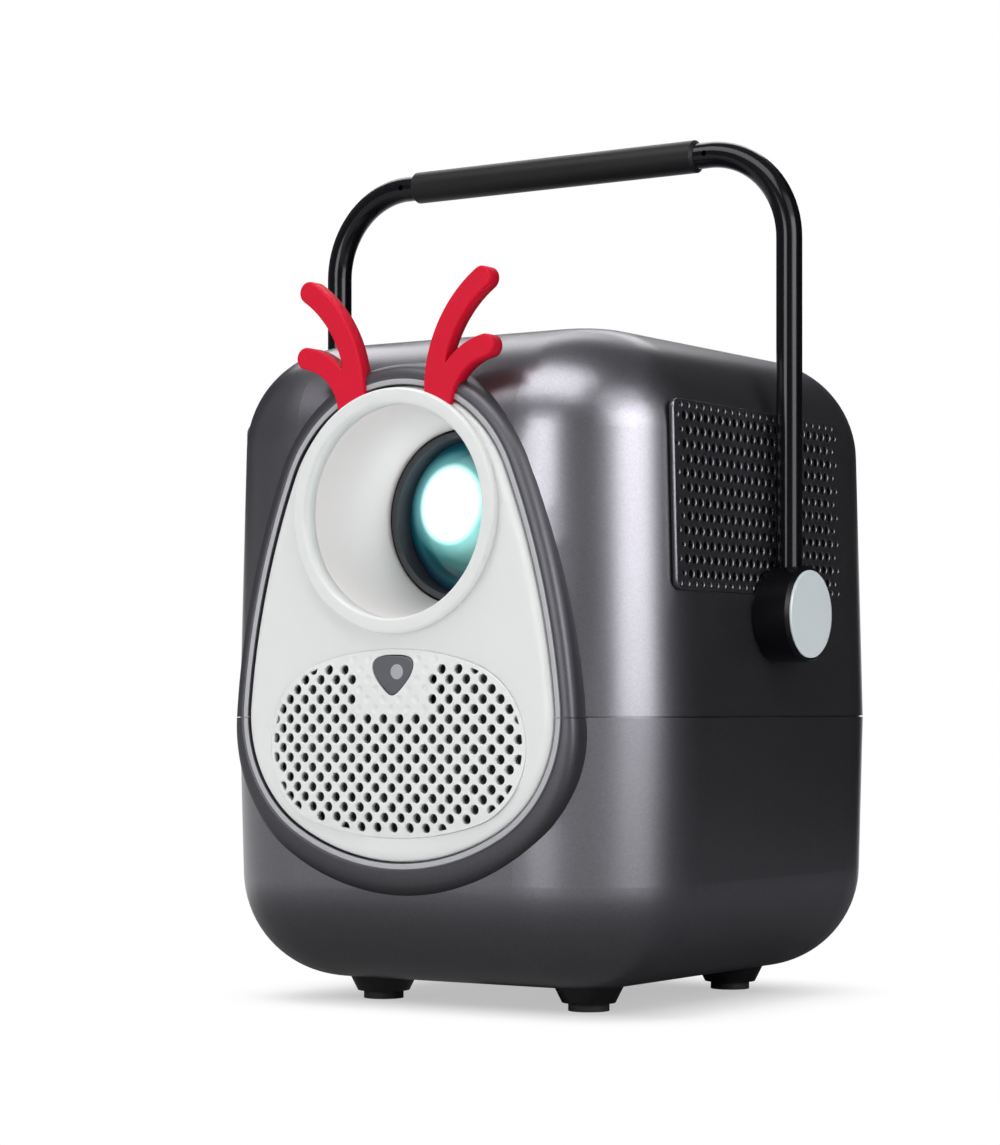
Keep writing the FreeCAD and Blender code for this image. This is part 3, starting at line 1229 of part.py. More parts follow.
def fresnel_lens():
    return light_sheet(LCD_Y + LCD_T + FRESNEL_SPACE, FRESNEL_T)


def condenser_lens():
    """Collecting lens pushed into the hole in the tunnel's back wall; its front is ground to two bevels."""
    radius = CONDENSER_R - SEAT_GAP / 2
    profile = [(0, 0), (radius * 0.5, 0), (radius * 0.85, CONDENSER_T * 0.25), (radius, CONDENSER_T * 0.6),
               (radius, CONDENSER_T), (0, CONDENSER_T)]
    return spun(profile, Vector(0, ENGINE_Y0 + ENGINE_LENGTH - CONDENSER_T, AXIS_Z), Vector(0, 1, 0))


def led_module():
    y = ENGINE_Y0 + ENGINE_LENGTH
    half = LED_SIZE / 2
    return box(-half, half, y, y + LED_T, AXIS_Z - half, AXIS_Z + half)


def heat_sink():
    y = ENGINE_Y0 + ENGINE_LENGTH + LED_T
    half_w = SINK_W / 2
    z0 = AXIS_Z - SINK_H / 2
    z1 = AXIS_Z + SINK_H / 2
    pitch = (SINK_W - SINK_FIN_T) / (SINK_FINS - 1)
    fins = [box(-half_w + i * pitch, -half_w + i * pitch + SINK_FIN_T, y + SINK_BASE, y + SINK_BASE + SINK_FIN, z0, z1)
            for i in range(SINK_FINS)]
    return join([box(-half_w, half_w, y, y + SINK_BASE, z0, z1)] + fins)


# ---------------------------------------------------------------- cooling fan
def fan_frame():
    """Square frame with the motor's seat held by spokes on the inner side."""
    outer = fan_outer_x()
    inner = outer - FAN_T
    half = FAN_SIZE / 2
    middle = Vector(inner, FAN_Y, FAN_Z)
    frame = box(inner, outer, FAN_Y - half, FAN_Y + half, FAN_Z - half, FAN_Z + half)
    frame = frame.cut(rod(FAN_BORE_R, middle - Vector(1, 0, 0), middle + Vector(FAN_T + 1, 0, 0)))
    seat = rod(FAN_HUB_R, middle, middle + Vector(FAN_SPOKE, 0, 0))
    spokes = [box(inner, inner + FAN_SPOKE, FAN_Y - FAN_SPOKE / 2, FAN_Y + FAN_SPOKE / 2, FAN_Z - half, FAN_Z + half),
              box(inner, inner + FAN_SPOKE, FAN_Y - half, FAN_Y + half, FAN_Z - FAN_SPOKE / 2, FAN_Z + FAN_SPOKE / 2)]
    shaft = rod(SHAFT_R, middle, middle + Vector(FAN_T / 2, 0, 0))
    return join([frame, seat, shaft] + spokes)


def fan_rotor():
    outer = fan_outer_x()
    inner = outer - FAN_T
    start = inner + FAN_SPOKE + SLOT_GAP
    end = outer - SLOT_GAP
    middle_x = (start + end) / 2
    reach = FAN_BORE_R - FAN_TIP_GAP
    hub_shape = rod(FAN_HUB_R, Vector(start, FAN_Y, FAN_Z), Vector(end, FAN_Y, FAN_Z))
    chord = (end - start) / math.cos(math.radians(BLADE_PITCH)) * 0.85
    blades = []
    for index in range(FAN_BLADES):
        blade = box(-chord / 2, chord / 2, -BLADE_T / 2, BLADE_T / 2, FAN_HUB_R - 1, reach - 1)
        blade.rotate(Vector(0, 0, 0), Vector(0, 0, 1), BLADE_PITCH)
        blade.rotate(Vector(0, 0, 0), Vector(1, 0, 0), 360 * index / FAN_BLADES)
        blade.translate(Vector(middle_x, FAN_Y, FAN_Z))
        blades.append(blade)
    swept = rod(reach, Vector(start, FAN_Y, FAN_Z), Vector(end, FAN_Y, FAN_Z))
    rotor = join([hub_shape] + [blade.common(swept) for blade in blades])
    return rotor.cut(rod(SHAFT_R + AXLE_GAP, Vector(inner, FAN_Y, FAN_Z),
                         Vector(inner + FAN_T / 2 + AXLE_GAP, FAN_Y, FAN_Z)))


# ---------------------------------------------------------------- speakers
def speaker(side):
    """Round driver on a flange that fills its half of the opening behind the grille."""
    front = PLATE_BACK_Y
    flange = slab(oval(front, -SEAT_GAP * 2), SPEAKER_FLANGE_T)
    flange = flange.common(box(SEAT_GAP, BODY_W, -BODY_D, 0, 0, BODY_TOP))
    flange = flange.cut(nose_block(front - 1, SPEAKER_FLANGE_T + 2, 2 * NOSE_FLANGE))
    basket = SPEAKER_FLANGE_T + SPEAKER_BASKET
    magnet = basket + SPEAKER_MAGNET_T
    profile = [(0, SPEAKER_DISH), (SPEAKER_DOME_R, SPEAKER_DISH), (SPEAKER_R - 1, 0), (SPEAKER_R, 0),
               (SPEAKER_R, basket), (SPEAKER_MAGNET_R, basket), (SPEAKER_MAGNET_R, magnet), (0, magnet)]
    centre = Vector(SPEAKER_X, front, GRILLE_Z)
    opening = rod(SPEAKER_R - 0.5, centre - Vector(0, 1, 0), centre + Vector(0, SPEAKER_FLANGE_T + 1, 0))
    driver = spun(profile, centre, Vector(0, 1, 0))
    driver = join([flange.cut(opening), driver])
    return driver if side > 0 else mirrored(driver)


# ---------------------------------------------------------------- disc drive
def drive_case():
    """Folded sheet case, open where the tray comes out, with tabs up to the chassis."""
    x0 = DRIVE_MOUTH_X
    x1 = x0 + DRIVE_L
    half = DRIVE_W / 2
    t = DRIVE_SHEET
    case = box(x0, x1, -half, half, DRIVE_Z0, DRIVE_Z1)
    case = case.cut(box(x0 - 1, x1 - t, -half + t, half - t, DRIVE_Z0 + t, DRIVE_Z1 - t))
    tabs = [box(sx * x1 / 2 - POST_R, sx * x1 / 2 + POST_R, sy * half * 0.8 - POST_R, sy * half * 0.8 + POST_R,
                DRIVE_Z1, CHASSIS_Z) for sx in (-1, 1) for sy in (-1, 1)]
    return join([case] + tabs)


def on_traverse(shape):
    """Turns what is drawn along +Y from the disc's middle onto the laser's line of travel."""
    shape.rotate(Vector(DISC_CENTRE_X, 0, 0), Vector(0, 0, 1), -TRAVERSE_ANGLE)
    return shape


def across_traverse(half_w, y0, y1, z0, z1):
    return box(DISC_CENTRE_X - half_w, DISC_CENTRE_X + half_w, y0, y1, z0, z1)


def sled_cheeks():
    """Start of the inner and of the outer cheek, along the laser's travel."""
    inner = SLED_START + SLED_LEAD - SLED_L - SLED_STOP_GAP - SLED_CHEEK_T
    outer = SLED_START + SLED_TRAVEL + SLED_LEAD + SLED_STOP_GAP
    return inner, outer


def disc_tray():
    """Tray with the disc's well, the laser's window, and cheeks below for the laser's rods."""
    x0 = TRAY_FRONT_X
    half = TRAY_W / 2
    disc = Vector(DISC_CENTRE_X, 0, 0)
    up = Vector(0, 0, 1)
    floor = TRAY_Z1 - DISC_WELL_DEPTH
    inner, outer = sled_cheeks()
    half_sled = SLED_W / 2 + SLOT_GAP
    tray = box(x0, x0 + TRAY_L, -half, half, TRAY_Z0, TRAY_Z1)
    well = rod(DISC_R + DISC_WELL_GAP, disc + up * floor, disc + up * (TRAY_Z1 + 1))
    middle = rod(MOTOR_R + SEAT_GAP, disc + up * (TRAY_Z0 - 1), disc + up * (TRAY_Z1 + 1))
    window = on_traverse(across_traverse(half_sled, inner - 1, outer, TRAY_Z0 - 1, TRAY_Z1 + 1))
    cheeks = [on_traverse(across_traverse(half_sled + SLED_CHEEK_T, y, y + SLED_CHEEK_T, sled_z() - SLED_T / 2,
                                          TRAY_Z0 + SLED_CHEEK_T / 2)) for y in (inner, outer)]
    solid = join([tray.cut([well, middle, window])] + cheeks)
    return solid.cut([sled_rods(), on_traverse(screw_bar(SCREW_R + SLED_ROD_GAP))])


def tray_bezel():
    """Front of the tray, shaped as the side of the body that it closes."""
    skin = outside(BODY_BOTTOM)
    half = BEZEL_W / 2
    block = skin.common(box(-BODY_W, TRAY_FRONT_X, -half, half, BEZEL_Z, BEZEL_Z + BEZEL_H))
    inner = box(-BODY_W / 2 + BEZEL_WALL + (PARTING_Z - BEZEL_Z) * DRAFT + 1, TRAY_FRONT_X + 1,
                -half * 0.72, half * 0.72, BEZEL_Z + BEZEL_WALL, TRAY_Z0 - SEAT_GAP)
    hole = box(-BODY_W, TRAY_FRONT_X + 1, EJECT_Y - EJECT_W / 2 - EJECT_GAP, EJECT_Y + EJECT_W / 2 + EJECT_GAP,
               eject_z() - EJECT_H / 2 - EJECT_GAP, eject_z() + EJECT_H / 2 + EJECT_GAP)
    return block.cut([inner, hole])


def eject_z():
    return BEZEL_Z + BEZEL_WALL + EJECT_H / 2 + EJECT_GAP


def eject_button():
    """Small key in the bezel; its flange behind keeps it in."""
    z = eject_z()
    face_x = -BODY_W / 2 + DRAFT * (PARTING_Z - z) - EJECT_PROUD
    cap = box(face_x, TRAY_FRONT_X + EJECT_GAP, EJECT_Y - EJECT_W / 2, EJECT_Y + EJECT_W / 2,
              z - EJECT_H / 2, z + EJECT_H / 2)
    flange = box(TRAY_FRONT_X + EJECT_GAP, TRAY_FRONT_X + EJECT_GAP + 1, EJECT_Y - EJECT_W / 2 - 1,
                 EJECT_Y + EJECT_W / 2 + 1, z - EJECT_H / 2 - 1, TRAY_Z0 - EJECT_GAP)
    return join([cap, flange])


def tray_rails():
    """Two-stage slides: they run out half as far as the tray."""
    inner = TRAY_W / 2 + TRAY_SLIDE_GAP
    x0 = DRIVE_MOUTH_X + SLOT_GAP
    rail = box(x0, x0 + RAIL_L, inner, inner + RAIL_W, TRAY_Z0, TRAY_Z0 + RAIL_H)
    other = box(x0, x0 + RAIL_L, -inner - RAIL_W, -inner, TRAY_Z0, TRAY_Z0 + RAIL_H)
    return Part.makeCompound([rail, other])


def spindle_motor():
    """Flat motor under the tray, with the fixed shaft that its hub turns on."""
    disc = Vector(DISC_CENTRE_X, 0, 0)
    up = Vector(0, 0, 1)
    base = TRAY_Z1 - DISC_WELL_DEPTH - MOTOR_T
    motor = rod(MOTOR_R, disc + up * base, disc + up * (base + MOTOR_T - SPINDLE_CLEARANCE))
    shaft = rod(SHAFT_R, disc + up * base, disc + up * (base + MOTOR_T + SPINDLE_H / 2))
    plate = rod(MOTOR_R + MOTOR_PLATE, disc + up * (TRAY_Z0 - MOTOR_PLATE_T), disc + up * TRAY_Z0)
    beyond = on_traverse(across_traverse(2 * MOTOR_R, MOTOR_R - MOTOR_PLATE, 2 * MOTOR_R, DRIVE_Z0, DRIVE_Z1))
    return join([motor, shaft, plate.cut(beyond)])


def spindle_hub():
    """Turntable for the disc, with the boss that centres it."""
    disc = Vector(DISC_CENTRE_X, 0, 0)
    base = TRAY_Z1 - DISC_WELL_DEPTH
    bore = SHAFT_R + AXLE_GAP
    depth = SPINDLE_H / 2 + 0.1
    profile = [(bore, 0), (SPINDLE_R, 0), (SPINDLE_R, 0.8), (SPINDLE_BOSS_R, 0.8), (SPINDLE_BOSS_R, SPINDLE_H),
               (0, SPINDLE_H), (0, depth), (bore, depth)]
    return spun(profile, disc + Vector(0, 0, base), Vector(0, 0, 1))


def sled_z():
    """Height of the sled's guide rods."""
    return TRAY_Z1 - DISC_WELL_DEPTH - 0.8 - SLED_T / 2


def sled_bars(radius):
    """The two guide rods along the travel, before they are turned onto it."""
    inner, outer = sled_cheeks()
    reach = SLED_W / 2 - SLED_ROD_INSET
    return [rod(radius, Vector(DISC_CENTRE_X + x, inner, sled_z()),
                Vector(DISC_CENTRE_X + x, outer + SLED_CHEEK_T, sled_z())) for x in (-reach, reach)]


def screw_bar(radius, end_gap=0.0):
    inner, outer = sled_cheeks()
    x = DISC_CENTRE_X + SLED_W / 4
    return rod(radius, Vector(x, inner + end_gap, sled_z()), Vector(x, outer + SLED_CHEEK_T - end_gap, sled_z()))


def sled_rods():
    return on_traverse(Part.makeCompound(sled_bars(SLED_ROD_R)))


def laser_sled():
    """Carriage of the laser, bored for its two rods and for the lead screw."""
    end = SLED_START + SLED_LEAD
    z = sled_z()
    top = z + SLED_T / 2
    sled = across_traverse(SLED_W / 2, end - SLED_L, end, z - SLED_T / 2, top)
    lens = rod(LASER_R, Vector(DISC_CENTRE_X, SLED_START, z), Vector(DISC_CENTRE_X, SLED_START, top + LASER_PROUD))
    bores = sled_bars(SLED_ROD_R + SLED_ROD_GAP) + [screw_bar(SCREW_R + SLED_ROD_GAP)]
    return on_traverse(join([sled, lens]).cut(bores))


def lead_screw():
    return on_traverse(screw_bar(SCREW_R, SLED_STOP_GAP))


# ---------------------------------------------------------------- chassis, boards and ports
def chassis_plate():
    """Sheet over the disc drive that carries the light engine and the boards."""
    half_w = CHASSIS_W / 2
    half_d = CHASSIS_D / 2
    plate = box(-half_w, half_w, -half_d, half_d, CHASSIS_Z, CHASSIS_Z + CHASSIS_T)
    room = POST_R + SCREW_GAP
    notches = [box(*sorted((sx * (TOWER_X - room), sx * BODY_W)), *sorted((sy * (TOWER_Y - room), sy * BODY_D)),
                   CHASSIS_Z - 1, CHASSIS_Z + 2 * CHASSIS_T) for sx in (-1, 1) for sy in (-1, 1)]
    return plate.cut(notches)


def case_screws():
    screws = []
    for x, y in screw_places():
        head = rod(SCREW_HEAD_R, Vector(x, y, SCREW_SEAT_Z - SCREW_HEAD_T), Vector(x, y, SCREW_SEAT_Z))
        shaft = rod(SCREW_SHAFT_R, Vector(x, y, SCREW_SEAT_Z), Vector(x, y, SCREW_SEAT_Z + SCREW_LENGTH))
        screws.append(join([head, shaft]))
    return Part.makeCompound(screws)


def board(x0, x1, y0, y1, blocks):
    """Circuit board on standoffs, with its larger parts as blocks, each at a share of the board's size."""
    z = BOARD_Z
    inset = POST_R
    shapes = [box(x0, x1, y0, y1, z, z + BOARD_T)]
    for x in (x0 + inset, x1 - inset):
        for y in (y0 + inset, y1 - inset):
            shapes.append(box(x - STANDOFF_W / 2, x + STANDOFF_W / 2, y - STANDOFF_W / 2, y + STANDOFF_W / 2,
                              CHASSIS_Z + CHASSIS_T, z))
    for across, back, (width, depth, height) in blocks:
        x = x0 + (x1 - x0) * across - width / 2
        y = y0 + (y1 - y0) * back - depth / 2
        shapes.append(box(x, x + width, y, y + depth, z + BOARD_T, z + BOARD_T + height))
    return join(shapes)


def main_board():
    return board(MAIN_X0, MAIN_X1, MAIN_Y0, wall_y(BOARD_Z) - PORT_RECESS - USB_L / 2,
                 [(0.47, 0.36, PROCESSOR_SINK), (0.19, 0.62, TUNER_CAN)])


def power_board():
    return board(POWER_X0, POWER_X1, POWER_Y0, POWER_Y1,
                 [(0.5, 0.25, TRANSFORMER), (0.5, 0.62, CAPACITOR), (0.5, 0.815, SWITCH_SINK)])


def socket(x, width, height, length, tongue_w, tongue_z0, tongue_z1):
    """Metal-shelled socket standing on the main board, with a tongue inside."""
    z = BOARD_Z + BOARD_T + height / 2
    shell = port_box(x, z, width, height, length)
    shell = shell.cut(port_box(x, z, width, height, length - SOCKET_BACK, -PORT_WALL, 0.0))
    face = wall_y(z - height / 2) - PORT_RECESS
    tongue = box(x - tongue_w / 2, x + tongue_w / 2, face - length, face - SOCKET_TONGUE_IN, z + tongue_z0, z + tongue_z1)
    return join([shell, tongue])


def usb_port():
    return socket(USB_X, USB_W, USB_H, USB_L, USB_W - 2 * PORT_WALL, 0.2, 1.6)


def hdmi_port():
    return socket(HDMI_X, HDMI_W, HDMI_H, HDMI_L, HDMI_W - 6 * PORT_WALL, -0.6, 0.6)


def audio_jack():
    z = BOARD_Z + BOARD_T + JACK_R
    face = wall_y(z - JACK_R) - PORT_RECESS
    shoulder = face - 1.5 * WALL
    nose = rod(JACK_R, Vector(JACK_X, shoulder, z), Vector(JACK_X, face, z))
    body = box(JACK_X - JACK_R, JACK_X + JACK_R, face - JACK_LENGTH - 1, shoulder, z - JACK_R, z + JACK_R)
    return join([nose, body]).cut(rod(JACK_BORE_R, Vector(JACK_X, face - JACK_LENGTH, z), Vector(JACK_X, face + 1, z)))


def ac_inlet():
    """Two-pin mains inlet: a figure-of-eight well with its pins."""
    low = INLET_Z - INLET_H / 2
    face = wall_y(low) - PORT_RECESS
    inside = CORE_Y + wall_out(low - INLET_RIM, WALL)
    body = port_box(INLET_X, INLET_Z, INLET_W, INLET_H, INLET_L)
    flange = box(INLET_X - INLET_W / 2 - INLET_RIM, INLET_X + INLET_W / 2 + INLET_RIM, inside - INLET_RIM, inside,
                 low - INLET_RIM, low + INLET_H + INLET_RIM)
    half = INLET_PIN_PITCH / 2
    wells = [rod(INLET_WELL_R, Vector(INLET_X + x, face - INLET_DEPTH, INLET_Z), Vector(INLET_X + x, face + 1, INLET_Z))
             for x in (-half, half)]
    waist = box(INLET_X - half, INLET_X + half, face - INLET_DEPTH, face + 1,
                INLET_Z - INLET_WELL_R * 0.9, INLET_Z + INLET_WELL_R * 0.9)
    pins = [rod(INLET_PIN_R, Vector(INLET_X + x, face - INLET_DEPTH - 1, INLET_Z), Vector(INLET_X + x, face - 2, INLET_Z))
            for x in (-half, half)]
    return join([join([body, flange]).cut(wells + [waist])] + pins)


# ---------------------------------------------------------------- keys
def round_key(x):
    """Round key on the top; a flange under the shell keeps it in."""
    flange_top = INSIDE_TOP - KEY_PLAY
    flange_low = flange_top - KEY_FLANGE_T
    profile = [(0, 0), (KEY_R + KEY_FLANGE, 0), (KEY_R + KEY_FLANGE, KEY_FLANGE_T), (KEY_R, KEY_FLANGE_T),
               (KEY_R, BODY_TOP + KEY_PROUD - KEY_GAP - flange_low), (KEY_R - KEY_GAP, BODY_TOP + KEY_PROUD - flange_low),
               (0, BODY_TOP + KEY_PROUD - flange_low)]
    return spun(profile, Vector(x, KEY_Y, flange_low), Vector(0, 0, 1))


def volume_rocker():
    """Long key that tips about a pin across its middle."""
    flange_top = INSIDE_TOP - KEY_PLAY * 3
    low = flange_top - KEY_FLANGE_T
    top = rocker_block(0.0, low, BODY_TOP + KEY_PROUD)
    bore = rod(ROCKER_PIN_R + AXLE_GAP, Vector(0, KEY_Y, low), Vector(2 * KEY_PITCH, KEY_Y, low))
    return top.cut(bore)


def key_board():
    """Narrow board under the keys, with a switch below each and the rocker's pin on two ears."""
    half = KEY_PITCH * 1.5 + POST_R
    z = KEY_BOARD_Z
    shapes = [box(-half, half, KEY_Y - ROCKER_L / 2, KEY_Y + ROCKER_L / 2, z - BOARD_T, z)]
    low = INSIDE_TOP - KEY_PLAY - KEY_FLANGE_T
    for x in (-KEY_PITCH, 0):
        shapes.append(box(x - SWITCH / 2, x + SWITCH / 2, KEY_Y - SWITCH / 2, KEY_Y + SWITCH / 2, z,
                          low - KEY_TRAVEL - KEY_GAP))
    rocker_low = INSIDE_TOP - KEY_PLAY * 3 - KEY_FLANGE_T
    ear_x = ROCKER_W / 2 + KEY_GAP
    for side in (-1, 1):
        x = KEY_PITCH + side * (ear_x + 0.6)
        shapes.append(box(x - 0.6, x + 0.6, KEY_Y - 2, KEY_Y + 2, z, rocker_low + ROCKER_PIN_R + 0.2))
        y = KEY_Y + side * ROCKER_L / 3
        shapes.append(box(KEY_PITCH - SWITCH / 2, KEY_PITCH + SWITCH / 2, y - SWITCH / 2, y + SWITCH / 2, z,
                          rocker_low - 3 * KEY_TRAVEL))
    shapes.append(rod(ROCKER_PIN_R, Vector(KEY_PITCH - ear_x - 1, KEY_Y, rocker_low),
                      Vector(KEY_PITCH + ear_x + 1, KEY_Y, rocker_low)))
    return join(shapes)


# ---------------------------------------------------------------- all the pieces
PARTS = {
    "upper_shell": upper_shell,
    "lower_shell": lower_shell,
    "front_plate": front_plate,
    "speaker_grille": speaker_grille,
    "ir_window": ir_window,
    "ir_sensor": ir_sensor,
    "lens_ring": lens_ring,
    "lens_funnel": lens_funnel,
    "antler_left": lambda: antler(-1),
    "antler_right": lambda: antler(1),
    "side_vent_left": lambda: side_vent(-1),
    "side_vent_right": lambda: side_vent(1),
    "handle_tube": handle_tube,
    "handle_grip": handle_grip,
    "hub_left": lambda: hub(-1),
    "hub_right": lambda: hub(1),
    "hub_cap_left": lambda: hub_cap(-1),
    "hub_cap_right": lambda: hub_cap(1),
    "pivot_pins": pivot_pins,
    "pivot_bushings": pivot_bushings,
    "feet": feet,
    "foot_pads": foot_pads,
    "tripod_insert": tripod_insert,
    "case_screws": case_screws,
    "lens_barrel": lens_barrel,
    "front_lens": front_lens,
    "lens_guide_rods": lens_guide_rods,
    "focus_wheel": focus_wheel,
    "focus_axle": focus_axle,
    "engine_housing": engine_housing,
    "lcd_panel": lcd_panel,
    "fresnel_lens": fresnel_lens,
    "condenser_lens": condenser_lens,
    "led_module": led_module,
    "heat_sink": heat_sink,
    "fan_frame": fan_frame,
    "fan_rotor": fan_rotor,
    "speaker_left": lambda: speaker(-1),
    "speaker_right": lambda: speaker(1),
    "drive_case": drive_case,
    "disc_tray": disc_tray,
    "tray_bezel": tray_bezel,
    "eject_button": eject_button,
    "tray_rails": tray_rails,
    "spindle_motor": spindle_motor,
    "spindle_hub": spindle_hub,
    "sled_rods": sled_rods,
    "laser_sled": laser_sled,
    "lead_screw": lead_screw,
    "chassis_plate": chassis_plate,
    "main_board": main_board,
    "power_board": power_board,
    "usb_port": usb_port,
    "hdmi_port": hdmi_port,
    "audio_jack": audio_jack,
    "ac_inlet": ac_inlet,
    "key_board": key_board,
    "power_button": lambda: round_key(-KEY_PITCH),
    "source_button": lambda: round_key(0),
    "volume_rocker": volume_rocker,
}

os.makedirs("parts", exist_ok=True)
for name, make in PARTS.items():
    shape = make()
    shape.translate(ROW_SHIFT)
    shape.exportStep(os.path.join("parts", name + ".step"))
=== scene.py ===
# Looks of a portable projector with a disc drive. The CAD frame gets its finishes here, and finer pieces
# stand in for the perforated panels, the soft white front, the antlers and the lit lens. The scene is in
# metres; pieces are drawn in millimetres and turned into metres where their mesh is made.
import math
import bmesh
import bpy
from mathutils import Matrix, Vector
from mathutils.geometry import delaunay_2d_cdt


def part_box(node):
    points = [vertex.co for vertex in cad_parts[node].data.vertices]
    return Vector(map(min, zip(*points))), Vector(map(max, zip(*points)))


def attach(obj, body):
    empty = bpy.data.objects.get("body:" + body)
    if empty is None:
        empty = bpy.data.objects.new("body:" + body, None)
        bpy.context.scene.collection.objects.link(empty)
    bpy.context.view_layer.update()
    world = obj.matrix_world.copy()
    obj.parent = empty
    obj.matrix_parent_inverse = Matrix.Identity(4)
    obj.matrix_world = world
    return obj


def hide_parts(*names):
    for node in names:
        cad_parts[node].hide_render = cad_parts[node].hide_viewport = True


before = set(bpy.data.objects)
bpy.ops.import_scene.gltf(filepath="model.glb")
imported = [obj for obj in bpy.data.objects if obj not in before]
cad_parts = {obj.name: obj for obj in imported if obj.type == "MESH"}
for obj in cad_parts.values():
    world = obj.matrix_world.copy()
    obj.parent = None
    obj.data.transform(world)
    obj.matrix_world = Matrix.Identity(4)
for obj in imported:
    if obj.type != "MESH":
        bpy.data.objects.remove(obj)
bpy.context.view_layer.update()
MM = 0.001


# ---------------------------------- studio
# A seamless white paper sweep under and behind the projector. Three broad lamps light it, four more only
# show as sheen, and three dark boards and the dim floor round its foot are there for the paint to mirror.
SWEEP_HALF_W = 3.0
SWEEP_NEAR_Y = -3.5
SWEEP_FAR_Y = 2.4
SWEEP_BEND_R = 1.0
SWEEP_TOP = 3.4
SWEEP_STEPS = 32
SWEEP_COLOUR = (0.93, 0.935, 0.94)
SHADOW_HALF = (0.046, 0.040)
SHADOW_REACH = (0.0, 0.055)
SHADOW_LIFT = 0.48
DIM_REACH = (0.0, 0.38)
DIM_DEPTH = 0.88
FLAG_FLOOR_Z = 0.6 * MM
FLAG_FLOOR_CORNERS = ((0.0, -0.05), (0.92, -0.05), (0.92, 0.8), (0.0, 0.8))
AIR_TONE = (0.97, 0.98, 1.0, 1.0)
AIR_STRENGTH = 0.22
CAMERA_PLACE = (523.113 * MM, -828.036 * MM, 92.1 * MM)
CAMERA_TURN = 33.295
CAMERA_LENS = 95.7
CAMERA_SENSOR_W = 36.0
CAMERA_SHIFT = 0.1176
CAMERA_NEAR = 0.01


def mesh_piece(name, verts, faces, smooth=True):
    """A mesh object of those corners and faces, in the scene's collection."""
    data = bpy.data.meshes.new(name)
    data.from_pydata([tuple(v) for v in verts], [], faces)
    data.update()
    flags = smooth if isinstance(smooth, list) else [smooth] * len(data.polygons)
    data.polygons.foreach_set("use_smooth", flags)
    piece = bpy.data.objects.new(name, data)
    bpy.context.scene.collection.objects.link(piece)
    return piece


def feed(target, values):
    """Sets inputs of a node, by name or number, each to a plain value or from the output of another node."""
    for key, value in values.items():
        if isinstance(value, bpy.types.NodeSocket):
            target.id_data.links.new(value, target.inputs[key])
        else:
            target.inputs[key].default_value = value


def node(tree, kind, values=None, **settings):
    """A new node of that kind, with those of its own properties and of its inputs set."""
    made = tree.nodes.new(kind)
    for key, value in settings.items():
        setattr(made, key, value)
    feed(made, values or {})
    return made


def maths(tree, operation, first, second):
    """The result of a sum with two numbers, each a plain one or an output."""
    return node(tree, "ShaderNodeMath", {0: first, 1: second}, operation=operation).outputs["Value"]


def vector_maths(tree, operation, *vectors, result="Vector"):
    """The result of a sum with vectors, each a plain one or an output."""
    return node(tree, "ShaderNodeVectorMath", dict(enumerate(vectors)), operation=operation).outputs[result]


def remap(tree, value, given, wanted=(0.0, 1.0), easing="LINEAR"):
    """The value moved from the given pair of bounds to the wanted one, and held within it."""
    return node(tree, "ShaderNodeMapRange", {
        "Value": value, "From Min": given[0], "From Max": given[1], "To Min": wanted[0], "To Max": wanted[1],
    }, interpolation_type=easing).outputs["Result"]


def new_material(name, colour, roughness, metallic=0.0):
    """A node material with those plain values; returns it, its tree and its Principled BSDF."""
    made = bpy.data.materials.new(name)
    made.use_nodes = True
    shader = made.node_tree.nodes["Principled BSDF"]
    feed(shader, {"Base Color": (*colour, 1.0), "Roughness": roughness, "Metallic": metallic})
    return made, made.node_tree, shader


def sweep():
    """The paper: a flat floor that bends up into a wall."""
    bend = [(SWEEP_FAR_Y - SWEEP_BEND_R + SWEEP_BEND_R * math.sin(a), SWEEP_BEND_R * (1 - math.cos(a)))
            for a in [math.pi / 2 * i / SWEEP_STEPS for i in range(SWEEP_STEPS + 1)]]
    profile = [(SWEEP_NEAR_Y, 0.0)] + bend + [(SWEEP_FAR_Y, SWEEP_TOP)]
    verts = [(x, y, z) for y, z in profile for x in (-SWEEP_HALF_W, SWEEP_HALF_W)]
    faces = [(2 * i, 2 * i + 1, 2 * i + 3, 2 * i + 2) for i in range(len(profile) - 1)]
    return mesh_piece("studio_sweep", verts, faces)


def sweep_paper():
    """Matt paper round the object; farther off it shows white to the camera and to what mirrors it.

    Mirrored, it is dim round the foot and grows white over a longer way, like a floor in the object's shade.
    """
    made, tree, shader = new_material("sweep_paper", SWEEP_COLOUR, 0.9)
    feed(shader, {"Specular IOR Level": 0.05})
    ray = node(tree, "ShaderNodeLightPath").outputs
    place = vector_maths(tree, "ABSOLUTE", node(tree, "ShaderNodeNewGeometry").outputs["Position"])
    past_edge = vector_maths(tree, "SUBTRACT", place, (*SHADOW_HALF, 0.0))
    outwards = vector_maths(tree, "MAXIMUM", past_edge, (0.0, 0.0, 0.0))
    distance = vector_maths(tree, "LENGTH", outwards, result="Value")
    far_off = remap(tree, distance, SHADOW_REACH, (SHADOW_LIFT, 1.0), "SMOOTHSTEP")
    mirrored = maths(tree, "MAXIMUM", ray["Is Glossy Ray"], ray["Is Transmission Ray"])
    white = maths(tree, "MAXIMUM", maths(tree, "MULTIPLY", ray["Is Camera Ray"], far_off), mirrored)
    near_by = remap(tree, distance, DIM_REACH, (DIM_DEPTH, 0.0), "SMOOTHSTEP")
    level = maths(tree, "SUBTRACT", 1.0, maths(tree, "MULTIPLY", near_by, mirrored))
    glow = node(tree, "ShaderNodeEmission", {"Color": (1.0, 1.0, 1.0, 1.0), "Strength": level})
    mix = node(tree, "ShaderNodeMixShader", {0: white, 1: shader.outputs["BSDF"], 2: glow.outputs["Emission"]})
    feed(tree.nodes["Material Output"], {"Surface": mix.outputs["Shader"]})
    return made


